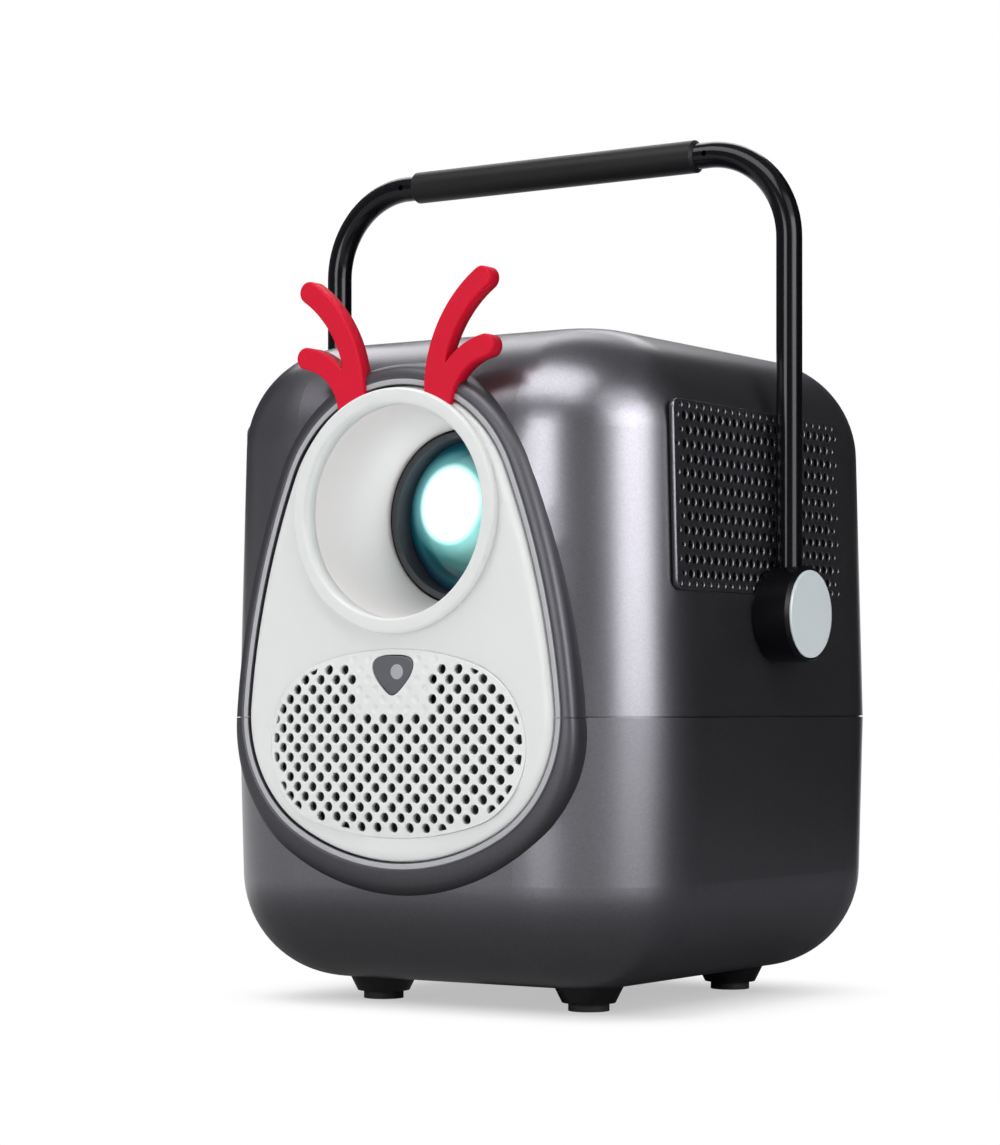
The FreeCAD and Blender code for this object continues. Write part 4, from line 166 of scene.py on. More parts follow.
def upright(a, b, foot, top):
    """Corners of an upright board over two places on the floor."""
    return [(*a, foot), (*b, foot), (*b, top), (*a, top)]


def mirrored_board(name, corners, colour):
    """A board outside the picture that only glossy surfaces see, for the metallic paint to mirror."""
    board = mesh_piece(name, corners, [(0, 1, 2, 3)], smooth=False)
    board.data.materials.append(new_material(name + "_cloth", colour, 1.0)[0])
    board.visible_camera = False
    board.visible_shadow = False
    board.visible_diffuse = False
    board.visible_transmission = False


def soft_box(name, place, aim, size, watts, matt=True, sheen=True):
    """A rectangular area lamp that looks at a point; it can leave out matt surfaces, or sheen."""
    data = bpy.data.lights.new(name, "AREA")
    data.shape = "RECTANGLE"
    data.size, data.size_y = size
    data.energy = watts
    lamp = bpy.data.objects.new(name, data)
    lamp.location = place
    lamp.rotation_euler = (Vector(aim) - Vector(place)).to_track_quat("-Z", "Y").to_euler()
    lamp.visible_diffuse = matt
    lamp.visible_glossy = sheen
    bpy.context.scene.collection.objects.link(lamp)


floor = sweep()
floor.data.materials.append(sweep_paper())
mirrored_board("flag_right", upright((-0.05, 0.80), (0.92, 0.16), 0.0, 1.0), (0.004, 0.004, 0.005))
mirrored_board("flag_back", upright((-2.2, 0.46), (0.46, 2.2), 0.25, 2.4), (0.06, 0.065, 0.08))
mirrored_board("flag_floor", [(x, y, FLAG_FLOOR_Z) for x, y in FLAG_FLOOR_CORNERS], (0.12, 0.12, 0.13))

soft_box("key_left", (-0.80, -1.35, 0.70), (0.0, 0.0, 0.12), size=(0.9, 1.0), watts=7.6, sheen=False)
soft_box("fill_right", (1.15, -0.45, 0.75), (0.05, -0.02, 0.14), size=(0.9, 0.9), watts=6.2)
soft_box("top", (-0.1, -0.2, 1.3), (0.0, 0.0, 0.1), size=(0.9, 0.9), watts=13.0, sheen=False)
soft_box("sheen_left", (-0.10, -1.47, 0.35), (0.0, -0.05, 0.12), size=(0.62, 0.50), watts=8.2, matt=False)
soft_box("sheen_right", (1.22, -0.33, 0.43), (0.05, -0.02, 0.12), size=(0.72, 0.66), watts=10.0, matt=False)
soft_box("sheen_top", (-0.06, -0.74, 1.16), (0.0, -0.05, 0.18), size=(1.2, 0.7), watts=15.0, matt=False)
soft_box("sheen_back", (-0.55, 0.75, 1.15), (0.0, 0.0, 0.18), size=(1.1, 0.7), watts=7.0, matt=False)

world = bpy.data.worlds.new("studio_air")
bpy.context.scene.world = world
world.use_nodes = True
feed(world.node_tree.nodes["Background"], {"Color": AIR_TONE, "Strength": AIR_STRENGTH})

camera_data = bpy.data.cameras.new("camera")
camera_data.lens = CAMERA_LENS
camera_data.sensor_width = CAMERA_SENSOR_W
camera_data.shift_y = CAMERA_SHIFT
camera_data.clip_start = CAMERA_NEAR
camera = bpy.data.objects.new("camera", camera_data)
camera.location = CAMERA_PLACE
camera.rotation_euler = (math.radians(90), 0.0, math.radians(CAMERA_TURN))
bpy.context.scene.collection.objects.link(camera)
bpy.context.scene.camera = camera
bpy.context.scene.view_settings.view_transform = "Standard"


# ---------------------------------- body shells
# The upper and lower shells and the disc tray's front are ABS mouldings 2.4 mm thick. They are sprayed
# together in a satin gunmetal that carries a fine metallic flake.
SHELL_COLOUR = (0.153, 0.149, 0.166)
PAINT_METALLIC = 0.92
PAINT_COAT = (0.2, 0.3)
FLAKE_CELL = 0.25 * MM
FLAKE_SPREAD = 0.14
DUST_TONE = (0.55, 0.54, 0.52)
DUST_FACING = (0.55, 1.0)


def effect_group(name, inputs, outputs):
    """A shader node group for an effect, with those inputs and their values, and those outputs.

    Returns the group, the sockets that bring its inputs in, and its output node.
    """
    group = bpy.data.node_groups.new(name, "ShaderNodeTree")
    for label, value in inputs.items():
        socket = group.interface.new_socket(label, in_out="INPUT", socket_type="NodeSocketFloat")
        socket.default_value = value
    for label in outputs:
        group.interface.new_socket(label, in_out="OUTPUT", socket_type="NodeSocketFloat")
    return group, group.nodes.new("NodeGroupInput").outputs, group.nodes.new("NodeGroupOutput")


def noise(tree, place, scale, detail):
    """Noise at that place, from 0 to 1."""
    values = {"Vector": place, "Scale": scale, "Detail": detail}
    return node(tree, "ShaderNodeTexNoise", values).outputs["Fac"]


def grain_group():
    """Moulded or sprayed grain: a fine height, a roughness that wanders, and a broad mottle."""
    group, given, result = effect_group(
        "grain", {"Scale": 2500.0, "Roughness": 0.4, "Wander": 0.08, "Smudge Scale": 25.0},
        ("Height", "Roughness", "Mottle"))
    place = node(group, "ShaderNodeTexCoord").outputs["Object"]
    smudge = noise(group, place, given["Smudge Scale"], detail=2.0)
    bounds = [maths(group, way, given["Roughness"], given["Wander"]) for way in ("SUBTRACT", "ADD")]
    feed(result, {"Height": noise(group, place, given["Scale"], detail=3.0),
                  "Roughness": remap(group, smudge, (0.0, 1.0), bounds), "Mottle": smudge})
    return group


def dust_group():
    """Dust: settles in patches on what faces up. The mask is 1 where it lies thickest."""
    group, given, result = effect_group("dust", {"Amount": 0.15, "Scale": 900.0}, ("Mask",))
    place = node(group, "ShaderNodeTexCoord").outputs
    facing = node(group, "ShaderNodeSeparateXYZ", {0: place["Normal"]}).outputs["Z"]
    specks = noise(group, place["Object"], given["Scale"], detail=4.0)
    lying = maths(group, "MULTIPLY", remap(group, facing, DUST_FACING), specks)
    feed(result, {"Mask": maths(group, "MULTIPLY", lying, given["Amount"])})
    return group


def flake_group():
    """Metal flake in a sprayed paint: each cell of that size, in metres, has a value of its own."""
    group, given, result = effect_group("flake", {"Cell": FLAKE_CELL}, ("Mask",))
    place = node(group, "ShaderNodeTexCoord").outputs["Object"]
    values = {"Vector": place, "Scale": maths(group, "DIVIDE", 1.0, given["Cell"])}
    feed(result, {"Mask": node(group, "ShaderNodeTexVoronoi", values).outputs["Color"]})
    return group


GRAIN = grain_group()
DUST = dust_group()
FLAKE = flake_group()


def bumped(tree, height, distance):
    """The normal that a height gives, where its full height is that distance."""
    return node(tree, "ShaderNodeBump", {"Distance": distance, "Height": height}).outputs["Normal"]


def put_grain(shader, scale, roughness, wander, bump, smudge_scale=25.0):
    """Lays the grain on the shader's roughness and normal; bump is its height. Returns the mottle."""
    tree = shader.id_data
    grain = node(tree, "ShaderNodeGroup", {
        "Scale": scale, "Roughness": roughness, "Wander": wander, "Smudge Scale": smudge_scale,
    }, node_tree=GRAIN).outputs
    feed(shader, {"Roughness": grain["Roughness"], "Normal": bumped(tree, grain["Height"], bump)})
    return grain["Mottle"]


def blended(tree, share, first, second):
    """A mix of two colours, each a plain one or an output."""
    values = {"Factor": share, "A": first, "B": second}
    return node(tree, "ShaderNodeMix", values, data_type="RGBA").outputs["Result"]


def mottled(tree, mask, colour, spread):
    """Colour that wanders by a share of itself with the mask."""
    darker, paler = [(*[c * share for c in colour], 1.0) for share in (1 - spread, 1 + spread)]
    return blended(tree, mask, darker, paler)


def dusted(tree, under, amount):
    """The colour of that output with dust over it."""
    dust = node(tree, "ShaderNodeGroup", {"Amount": amount}, node_tree=DUST)
    return blended(tree, dust.outputs["Mask"], under, (*DUST_TONE, 1.0))


def moulded(name, colour, roughness, grain_mm, bump_mm, spread=0.05, wander=0.05, dust=0.0, gloss=0.5):
    """A moulded plastic, rubber or cast finish; spread and wander are of its colour and its roughness."""
    made, tree, shader = new_material(name, colour, roughness)
    mottle = put_grain(shader, 1.0 / (grain_mm * MM), roughness, wander, bump_mm * MM)
    tinted = mottled(tree, mottle, colour, spread)
    feed(shader, {"Specular IOR Level": gloss, "Base Color": dusted(tree, tinted, dust) if dust else tinted})
    return made


def gunmetal_paint(name, colour, roughness):
    """Sprayed metallic paint: flake under a thin, hazy clear coat."""
    made, tree, shader = new_material(name, colour, roughness, PAINT_METALLIC)
    put_grain(shader, scale=1600.0, roughness=roughness, wander=0.03, bump=0.0035 * MM, smudge_scale=14.0)
    flake = node(tree, "ShaderNodeGroup", {"Cell": FLAKE_CELL}, node_tree=FLAKE)
    feed(shader, {"Coat Weight": PAINT_COAT[0], "Coat Roughness": PAINT_COAT[1],
                  "Base Color": mottled(tree, flake.outputs["Mask"], colour, FLAKE_SPREAD)})
    return made


def finish_nodes(material, *names):
    """Puts a material on CAD nodes in place of their plain one."""
    for name in names:
        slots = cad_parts[name].data.materials
        slots.clear()
        slots.append(material)


PAINT = gunmetal_paint("gunmetal_paint", SHELL_COLOUR, 0.32)
finish_nodes(PAINT, "upper_shell", "lower_shell", "tray_bezel")


# ---------------------------------- white front plate
# An egg-shaped ABS moulding in soft-gloss white, 3 mm thick. Its edge is rolled over and its belly
# swells a little round the speaker grille. Clips behind hold it in the seat of the shells.
TOP_R, FLANK_R, CORNER_R, FOOT_R = 41.4, 238.0, 38.9, 71.4
EGG_TOP_Z = 146.3
EGG_HALF_W = 56.2
EGG_FOOT_Z = 46.0
EGG_STEPS = 26
ROLL = (3.4, 1.9)
BELLY = 0.35
BELLY_MIDDLE = (0.0, 82.0)
BELLY_REACH = (70.0, 62.0)
PLATE_WHITE = (0.745, 0.755, 0.748)
PLATE_THICK = 3.0
PLATE_BORE_R = 33.6
PLATE_RIM = (0.12, 0.12)
PLATE_MESH = 4.0
MESH_CLEAR = 0.6
BOWL_SIDES = 12
BOWL_RINGS = (0.66, 0.33)
DRAWN_NEAR = 1e-5
MERGE_DISTANCE = 1e-7
AXIS_Z = 150.5
OVAL_HALF_W = 46.3
OVAL_TOP = (29.0, 25.6)
OVAL_FOOT = (27.3, 24.0)
OVAL_Z = 80.4
OVAL_GAP = 0.05
OVAL_STEPS = 20
PLATE_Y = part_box("front_plate")[0][1] / MM


def arc_points(centre, radius, start, end, steps):
    """Points along an arc, from one angle to just before the other."""
    return [Vector((centre[0] + radius * math.cos(a), centre[1] + radius * math.sin(a)))
            for a in [math.radians(start + (end - start) * i / steps) for i in range(steps)]]


def circle(centre, radius, steps):
    """A closed counter-clockwise loop."""
    return arc_points(centre, radius, 0.0, 360.0, steps)


def mirrored_loop(half):
    """A closed counter-clockwise loop from its right half, which runs down from top to bottom."""
    return [*reversed(half)] + [Vector((-p.x, p.y)) for p in half[1:-1]]


def offset_loop(loop, distance):
    """The closed counter-clockwise loop moved inwards by the distance, or outwards if it is negative."""
    moved = []
    for index, point in enumerate(loop):
        before = (point - loop[index - 1]).normalized()
        after = (loop[(index + 1) % len(loop)] - point).normalized()
        along = (before + after).normalized()
        moved.append(point + Vector((-along.y, along.x)) * distance)
    return moved


def inside(point, loop):
    """Whether the point lies within the closed loop."""
    crossed = False
    for a, b in zip(loop, loop[1:] + loop[:1]):
        if (a.y > point.y) != (b.y > point.y):
            crossed ^= point.x < a.x + (point.y - a.y) * (b.x - a.x) / (b.y - a.y)
    return crossed


def fill_points(outer, holes, pitch):
    """A grid of points inside the outline, clear of its edge and of the holes."""
    low = [min(p[i] for p in outer) for i in (0, 1)]
    high = [max(p[i] for p in outer) for i in (0, 1)]
    edges = outer + [p for hole in holes for p in hole]
    found = []
    for row in range(int((high[1] - low[1]) / pitch) + 1):
        for column in range(int((high[0] - low[0]) / pitch) + 1):
            point = Vector((low[0] + (column + 0.5 * (row % 2)) * pitch, low[1] + row * pitch))
            if (inside(point, outer) and not any(inside(point, hole) for hole in holes)
                    and min((point - p).length for p in edges) > MESH_CLEAR * pitch):
                found.append(point)
    return found


def triangulated(loops, extra=()):
    """Constrained triangles of those loops and extra points.

    Returns their corners, each triangle with the loops that it is in, and the loops as chains of corners.
    """
    points, chains = [], []
    for loop in loops:
        chains.append(list(range(len(points), len(points) + len(loop))))
        points.extend(loop)
    made = delaunay_2d_cdt([*points, *extra], [], chains, 1, DRAWN_NEAR)
    flat, _, triangles, from_verts, _, from_faces = made
    where = {source: index for index, sources in enumerate(from_verts) for source in sources}
    return flat, list(zip(triangles, from_faces)), [[where[i] for i in chain] for chain in chains]


def closed_piece(name, verts, faces, smooth=True):
    """A mesh piece drawn in millimetres, with doubled corners merged and its faces turned outwards."""
    piece = mesh_piece(name, [v * MM for v in verts], faces, smooth)
    shape = bmesh.new()
    shape.from_mesh(piece.data)
    bmesh.ops.remove_doubles(shape, verts=shape.verts, dist=MERGE_DISTANCE)
    bmesh.ops.recalc_face_normals(shape, faces=shape.faces)
    shape.to_mesh(piece.data)
    shape.free()
    return piece


def soft_panel(name, outer, holes, depth, roll, place, rim=(0.0, 0.0), dimples=(), fill=0.0, steps=4):
    """A panel of that outline and holes with rolled edges, as one closed mesh.

    place turns a point of the drawing and its depth behind the face into a place in space; roll and rim are
    the width and depth of the rounding at the outline and at the holes; a dimple is its middle, radius, depth;
    fill is the pitch of the points inside a curved face.
    """
    verts, faces, smooth = [], [], []

    def add_loop(loop, at):
        verts.extend(place(p, at) for p in loop)
        return list(range(len(verts) - len(loop), len(verts)))

    def add_faces(made, soft):
        faces.extend(made)
        smooth.extend([soft] * len(made))

    def add_sheet(loops, at, soft, way, extra=()):
        """Fills the first loop, outside the others; way is -1 for a sheet that faces back."""
        flat, triangles, chains = triangulated(loops, extra)
        corners = add_loop(flat, at)
        add_faces([tuple(corners[i] for i in triangle[::way])
                   for triangle, origin in triangles if list(origin) == [0]], soft)
        return [[corners[i] for i in chain] for chain in chains]

    def bridge(ring, other, way=1):
        """Joins two rings of as many corners by a strip of faces."""
        turns = [(i, (i + 1) % len(ring)) for i in range(len(ring))]
        add_faces([(ring[i], ring[j], other[j], other[i])[::way] for i, j in turns], True)

    def rolled(loop, width, deep, sign):
        """The loop's quarter round, from its wall to the face, as loops and their depths."""
        turns = [math.pi / 2 * k / steps for k in range(steps + 1)]
        return [(offset_loop(loop, sign * width * (1 - math.cos(a))), deep * (1 - math.sin(a))) for a in turns]

    face_loops, walls = [], []
    for loop, (width, deep), sign in [(outer, roll, 1)] + [(hole, rim, -1) for hole in holes]:
        *rings, (face_loop, _) = rolled(loop, width, deep, sign)
        face_loops.append(face_loop)
        walls.append((loop, rings, sign))
    bowls = [circle(middle, radius, BOWL_SIDES) for middle, radius, _ in dimples]
    extra = fill_points(face_loops[0], face_loops[1:], fill) if fill else []
    chains = add_sheet(face_loops + bowls, 0.0, bool(fill), 1, extra)
    for (loop, rings, sign), previous in zip(walls, chains):
        for ring, at in [*reversed(rings), (loop, depth)]:
            current = add_loop(ring, at)
            bridge(previous, current, sign)
            previous = current
    for (middle, radius, deep), previous in zip(dimples, chains[len(face_loops):]):
        for share in BOWL_RINGS:
            current = add_loop(circle(middle, radius * share, BOWL_SIDES), deep * (1 - share ** 2))
            bridge(previous, current)
            previous = current
        bottom = add_loop([middle], deep)[0]
        add_faces([(previous[i], previous[(i + 1) % BOWL_SIDES], bottom) for i in range(BOWL_SIDES)], True)
    add_sheet([outer, *holes], depth, False, -1)
    return closed_piece(name, verts, faces, smooth)


def belly(point):
    """How far the plate's face stands forward there, in millimetres."""
    across = (point.x - BELLY_MIDDLE[0]) / BELLY_REACH[0]
    up = (point.y - BELLY_MIDDLE[1]) / BELLY_REACH[1]
    return BELLY * max(0.0, 1 - across * across) * math.exp(-2.0 * up * up)


def oval_loop(grow=0.0):
    """Outline of the grille: two end arcs joined by flatter ones, squarer above its middle than below."""
    halves = []
    for height, radius in (OVAL_TOP, OVAL_FOOT):
        half_h, end_r = height + grow, radius + grow
        reach = OVAL_HALF_W + grow - end_r
        flat_r = (reach ** 2 + half_h ** 2 - end_r ** 2) / (2 * (half_h - end_r))
        joint = math.degrees(math.atan2(flat_r - half_h, reach))
        halves.append(arc_points((0.0, half_h - flat_r), flat_r, 90.0, joint, OVAL_STEPS)
                      + arc_points((reach, 0.0), end_r, joint, 0.0, OVAL_STEPS))
    upper, lower = halves
    side = Vector((OVAL_HALF_W + grow, 0.0))
    right = upper + [side] + [Vector((p.x, -p.y)) for p in reversed(lower)]
    return [p + Vector((0.0, OVAL_Z)) for p in mirrored_loop(right)]


def egg_loop(side=0.0, top=0.0, foot=0.0):
    """Outline of the plate grown outwards: top, flank, corner and foot arcs that run into each other."""
    flank = Vector((EGG_HALF_W - FLANK_R, EGG_TOP_Z))
    flank.y -= math.sqrt((FLANK_R + side - TOP_R - top) ** 2 - flank.x ** 2)
    base = Vector((0.0, EGG_FOOT_Z - foot + FOOT_R + side))
    span = base - flank
    along = ((FLANK_R - CORNER_R) ** 2 - (FOOT_R - CORNER_R) ** 2 + span.length_squared) / (2 * span.length)
    off = math.sqrt((FLANK_R - CORNER_R) ** 2 - along ** 2)
    unit = span.normalized()
    corner = flank + unit * along + Vector((unit.y, -unit.x)) * off
    turns = [90.0] + [math.degrees(math.atan2(v.y, v.x)) for v in
                      (Vector((0.0, EGG_TOP_Z)) - flank, corner - flank, corner - base)] + [-90.0]
    radii = (TOP_R + top, FLANK_R + side, CORNER_R + side, FOOT_R + side)
    arcs = zip(((0.0, EGG_TOP_Z), flank, corner, base), radii, turns, turns[1:])
    right = [p for middle, radius, start, end in arcs for p in arc_points(middle, radius, start, end, EGG_STEPS)]
    return mirrored_loop(right + [Vector((0.0, EGG_FOOT_Z - foot))])


bore = circle((0.0, AXIS_Z), PLATE_BORE_R, 72)
plate = soft_panel("plate_face", egg_loop(), [bore, oval_loop(OVAL_GAP)], PLATE_THICK, ROLL,
                   lambda p, d: Vector((p.x, PLATE_Y + d - belly(p) * (1 - d / PLATE_THICK), p.y)),
                   rim=PLATE_RIM, fill=PLATE_MESH, steps=6)
WHITE_GLOSS = moulded("white_gloss_plastic", PLATE_WHITE, 0.34, grain_mm=0.9, bump_mm=0.002, spread=0.02,
                      wander=0.03, dust=0.04, gloss=0.2)
plate.data.materials.append(WHITE_GLOSS)
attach(plate, "case")
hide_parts("front_plate")


# ---------------------------------- lip and skirt round the plate
# The shells rise to the plate in a soft-shouldered skirt, sprayed with them, that ends in a narrow lip.
# The skirt's paint is rougher and darker, the dark a painted shade; the lip's pale colour is a painted
# highlight. Both are in two pieces, one on each shell.
LIP = (0.45, 2.25)
LIP_Y = PLATE_Y + 0.42
LIP_ROUND = 0.35
LIP_TURNS = (0.0, 0.5, 1.05, math.pi / 2)
LIP_DEPTH = 0.9
SKIRT_PROFILE = [(0.10, 2.4, 2.4, 2.4), (0.04, 2.9, 2.9, 3.2), (0.16, 3.8, 3.8, 5.0), (0.42, 4.6, 4.7, 7.0),
                 (0.9, 5.25, 5.5, 8.6), (1.8, 5.75, 6.2, 9.8), (3.6, 6.0, 6.9, 10.7), (13.0, 6.2, 8.1, 11.8)]
SKIRT_SKIN = 0.9
PARTING_Z = 89.0
PARTING_GAP = 0.12
BAND_STEPS = 96
BAND_SHARP = math.radians(50)


def loop_area(loop):
    """The area of a closed loop, more than zero where it runs counter-clockwise."""
    return 0.5 * sum(p.cross(q) for p, q in zip(loop, loop[1:] + loop[:1]))


def upper_or_lower(loop, above):
    """The part of the loop above or below the parting line, from end to end, as evenly spaced points."""
    way = 1 if above else -1
    cut = PARTING_Z + way * PARTING_GAP
    first = next(i for i, p in enumerate(loop) if way * (loop[i - 1].y - cut) <= 0 < way * (p.y - cut))
    chain = [loop[(first + i - 1) % len(loop)] for i in range(len(loop))]
    last = next(i for i, p in enumerate(chain) if i and way * (p.y - cut) <= 0)
    chain = chain[:last + 1]
    for end, near in ((0, 1), (-1, -2)):
        share = (cut - chain[end].y) / (chain[near].y - chain[end].y)
        chain[end] = chain[end].lerp(chain[near], share)
    reach = [0.0]
    for p, q in zip(chain, chain[1:]):
        reach.append(reach[-1] + (q - p).length)
    points, at = [chain[0]], 0
    for i in range(1, BAND_STEPS):
        aim = reach[-1] * i / BAND_STEPS
        while reach[at + 1] < aim:
            at += 1
        points.append(chain[at].lerp(chain[at + 1], (aim - reach[at]) / (reach[at + 1] - reach[at])))
    return points + [chain[-1]]


def band(name, stations, above):
    """A band along the egg's upper or lower part; stations give its section as y, side, top and foot growth."""
    rings = [[Vector((p.x, y, p.y)) for p in upper_or_lower(egg_loop(side, top, foot), above)]
             for y, side, top, foot in stations]
    count = BAND_STEPS + 1
    verts = [p for ring in rings for p in ring]
    faces = []
    for k in range(len(rings)):
        low, high = k * count, (k + 1) % len(rings) * count
        faces.extend((low + i, low + i + 1, high + i + 1, high + i) for i in range(count - 1))
    ends = [tuple(k * count + i for k in range(len(rings))) for i in (0, count - 1)]
    piece = closed_piece(name, verts, faces + ends, [True] * len(faces) + [False] * len(ends))
    piece.data.set_sharp_from_angle(angle=BAND_SHARP)
    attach(piece, "case")
    return piece


# The lip's pale colour is a painted highlight of its rounded edge.
LIP_PAINTED_HIGHLIGHT = moulded("lip_painted_highlight", (0.43, 0.43, 0.45), 0.34, grain_mm=0.5, bump_mm=0.002, spread=0.04,
                      wander=0.04, gloss=0.3)
# The skirt's darker paint is painted shade; its rougher finish is its own.
SKIRT_PAINTED_SHADE = gunmetal_paint("gunmetal_skirt_painted_shade", (0.070, 0.068, 0.077), 0.5)
lip_corner = [(LIP_Y + LIP_ROUND * (1 - math.sin(a)), LIP_ROUND * (1 - math.cos(a))) for a in LIP_TURNS]
lip_section = ([(LIP_Y + LIP_DEPTH, LIP[0])] + [(y, LIP[0] + out) for y, out in lip_corner]
               + [(y, LIP[1] - out) for y, out in reversed(lip_corner)] + [(LIP_Y + LIP_DEPTH, LIP[1])])
skirt_section = ([(LIP_Y + y, side, top, foot) for y, side, top, foot in SKIRT_PROFILE]
                 + [(LIP_Y + y + SKIRT_SKIN, side - SKIRT_SKIN, top - SKIRT_SKIN, foot - SKIRT_SKIN)
                    for y, side, top, foot in reversed(SKIRT_PROFILE)])
for half, above in (("upper", True), ("lower", False)):
    band("lip_" + half, [(y, out, out, out) for y, out in lip_section], above).data.materials.append(LIP_PAINTED_HIGHLIGHT)
    band("skirt_" + half, skirt_section, above).data.materials.append(SKIRT_PAINTED_SHADE)


# ---------------------------------- speaker grille
# A separate white ABS panel, domed and let into the plate. It is pierced all over; round the
# window and along its top the holes are only started, as shallow dimples.
GRILLE_PITCH = (5.87, 2.935)
GRILLE_ROWS = range(-8, 10)
GRILLE_COLUMNS = range(-8, 9)
GRILLE_HOLE_R = 1.5
GRILLE_HOLE_SIDES = 14
GRILLE_RIM = (0.22, 0.3)
GRILLE_EDGE = (0.12, 0.12)
GRILLE_MIDDLE_Z = 79.8
GRILLE_RECESS = 0.3
GRILLE_DOME = 2.3
DOME_POWERS = (6, 5)
DOME_PAST_EDGE = 1.0
GRILLE_MARGIN = 1.2
DENT_MARGIN = 0.25
DENT_DEPTH = 0.45
NOSE_GAP = 0.25
NOSE_CLEAR = 0.5
GRILLE_SHEET = 2.0
BLIND_HALF_W = 14.0
BLIND_Z = 90.0
SMALLEST_CUT = 2.2
NOSE_POINTS = [(0.0, 107.4), (3.6, 107.2), (6.3, 106.3), (7.2, 104.3), (6.4, 101.6), (4.4, 98.9), (1.9, 96.5),
               (0.0, 95.8)]


def smooth_loop(half, steps):
    """Closed counter-clockwise curve through the points of its right half, top to bottom, and their mirror."""
    points = mirrored_loop([Vector(p) for p in half])
    curve = []
    for i, b in enumerate(points):
        a, c, d = points[i - 1], points[(i + 1) % len(points)], points[(i + 2) % len(points)]
        for t in [k / steps for k in range(steps)]:
            curve.append(0.5 * ((2 * b) + (c - a) * t + (2 * a - 5 * b + 4 * c - d) * t * t
                                + (3 * b - a - 3 * c + d) * t ** 3))
    return curve


def clipped(loop, outline):
    """What the convex outline leaves of a convex loop; both run counter-clockwise."""
    for a, b in zip(outline, outline[1:] + outline[:1]):
        kept = []
        for p, q in zip(loop, loop[1:] + loop[:1]):
            side_p = (b - a).cross(p - a)
            side_q = (b - a).cross(q - a)
            if side_p >= 0:
                kept.append(p)
            if (side_p >= 0) != (side_q >= 0):
                kept.append(p + (q - p) * (side_p / (side_p - side_q)))
        loop = kept
    return loop


def grille_dome(point):
    """How far the grille's face stands in front of its rim there, in millimetres."""
    height = (OVAL_TOP if point.y > OVAL_Z else OVAL_FOOT)[0]
    across = abs(point.x) / (OVAL_HALF_W + DOME_PAST_EDGE)
    up = abs(point.y - OVAL_Z) / (height + DOME_PAST_EDGE)
    return GRILLE_DOME * (1 - across ** DOME_POWERS[0]) * (1 - up ** DOME_POWERS[1])


def on_grille(point, depth):
    """Turns a point of the drawing and its depth behind the grille's face into a place."""
    return Vector((point.x, PLATE_Y + GRILLE_RECESS - belly(point) + depth - grille_dome(point), point.y))


nose = smooth_loop(NOSE_POINTS, 5)
pierced = oval_loop(-GRILLE_MARGIN)
dented = oval_loop(-DENT_MARGIN)
by_nose = offset_loop(nose, -GRILLE_HOLE_R - NOSE_CLEAR)
holes = [offset_loop(nose, -NOSE_GAP)]
dimples = []
for row in GRILLE_ROWS:
    for column in GRILLE_COLUMNS:
        middle = Vector(((column + 0.5 * (row % 2)) * GRILLE_PITCH[0], GRILLE_MIDDLE_Z + row * GRILLE_PITCH[1]))
        full = circle(middle, GRILLE_HOLE_R, GRILLE_HOLE_SIDES)
        if row == GRILLE_ROWS[-1] or (abs(middle.x) < BLIND_HALF_W and middle.y > BLIND_Z):
            if all(inside(p, dented) for p in full) and not inside(middle, by_nose):
                dimples.append((middle, GRILLE_HOLE_R, DENT_DEPTH))
            continue
        cut = clipped(full, pierced)
        if len(cut) > 2 and loop_area(cut) > SMALLEST_CUT:
            holes.append(cut)
grille = soft_panel("grille_face", oval_loop(), holes, GRILLE_SHEET, GRILLE_EDGE, on_grille, rim=GRILLE_RIM,
                    dimples=dimples, steps=2)
WHITE_MATT = moulded("white_satin_plastic", PLATE_WHITE, 0.42, grain_mm=0.6, bump_mm=0.003, spread=0.02,
                     wander=0.04, dust=0.05, gloss=0.2)
grille.data.materials.append(WHITE_MATT)
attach(grille, "case")
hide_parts("speaker_grille")


# ---------------------------------- remote control window
# A smoked grey acrylic window, rounded like a nose and let into the grille. Behind it sits the receiver,
# which shows as a paler round patch.
NOSE_DEPTH = 1.6
NOSE_ROLL = (0.6, 0.35)
NOSE_SINK = 0.25
NOSE_Y = on_grille(Vector((0.0, 103.0)), NOSE_SINK).y
EYE = (1.5, 102.6, 2.3)
EYE_THICK = 0.4
EYE_PROUD = 0.06
EYE_ROLL = (0.25, 0.12)

window = soft_panel("nose_window", nose, [], NOSE_DEPTH, NOSE_ROLL,
                    lambda p, d: Vector((p.x, NOSE_Y + d, p.y)), steps=3)
SMOKED = moulded("smoked_acrylic", (0.115, 0.118, 0.132), 0.30, grain_mm=1.2, bump_mm=0.001, spread=0.08,
                 wander=0.04, gloss=0.15)
window.data.materials.append(SMOKED)
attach(window, "case")
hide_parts("ir_window")
eye = soft_panel("nose_receiver", circle(EYE[:2], EYE[2], 32), [], EYE_THICK, EYE_ROLL,
                 lambda p, d: Vector((p.x, NOSE_Y - EYE_PROUD + d, p.y)), steps=2)
SENSOR_GREY = moulded("receiver_grey", (0.38, 0.385, 0.41), 0.3, grain_mm=0.8, bump_mm=0.001, spread=0.12)
eye.data.materials.append(SENSOR_GREY)
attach(eye, "case")
finish_nodes(SENSOR_GREY, "ir_sensor")


# ---------------------------------- lens ring and funnel
# A turned-looking white ring pressed into the plate, and behind it a satin white funnel that narrows
# towards the lens. Both are ABS; the ring's edges are well rounded.
RING_R = (32.0, 36.6)
RING_ROUND = 1.0
ROUND_STEPS = 6
RING_THICK = 3.4
RING_SPIGOT = (33.3, 5.2)
RING_STEPS = 128


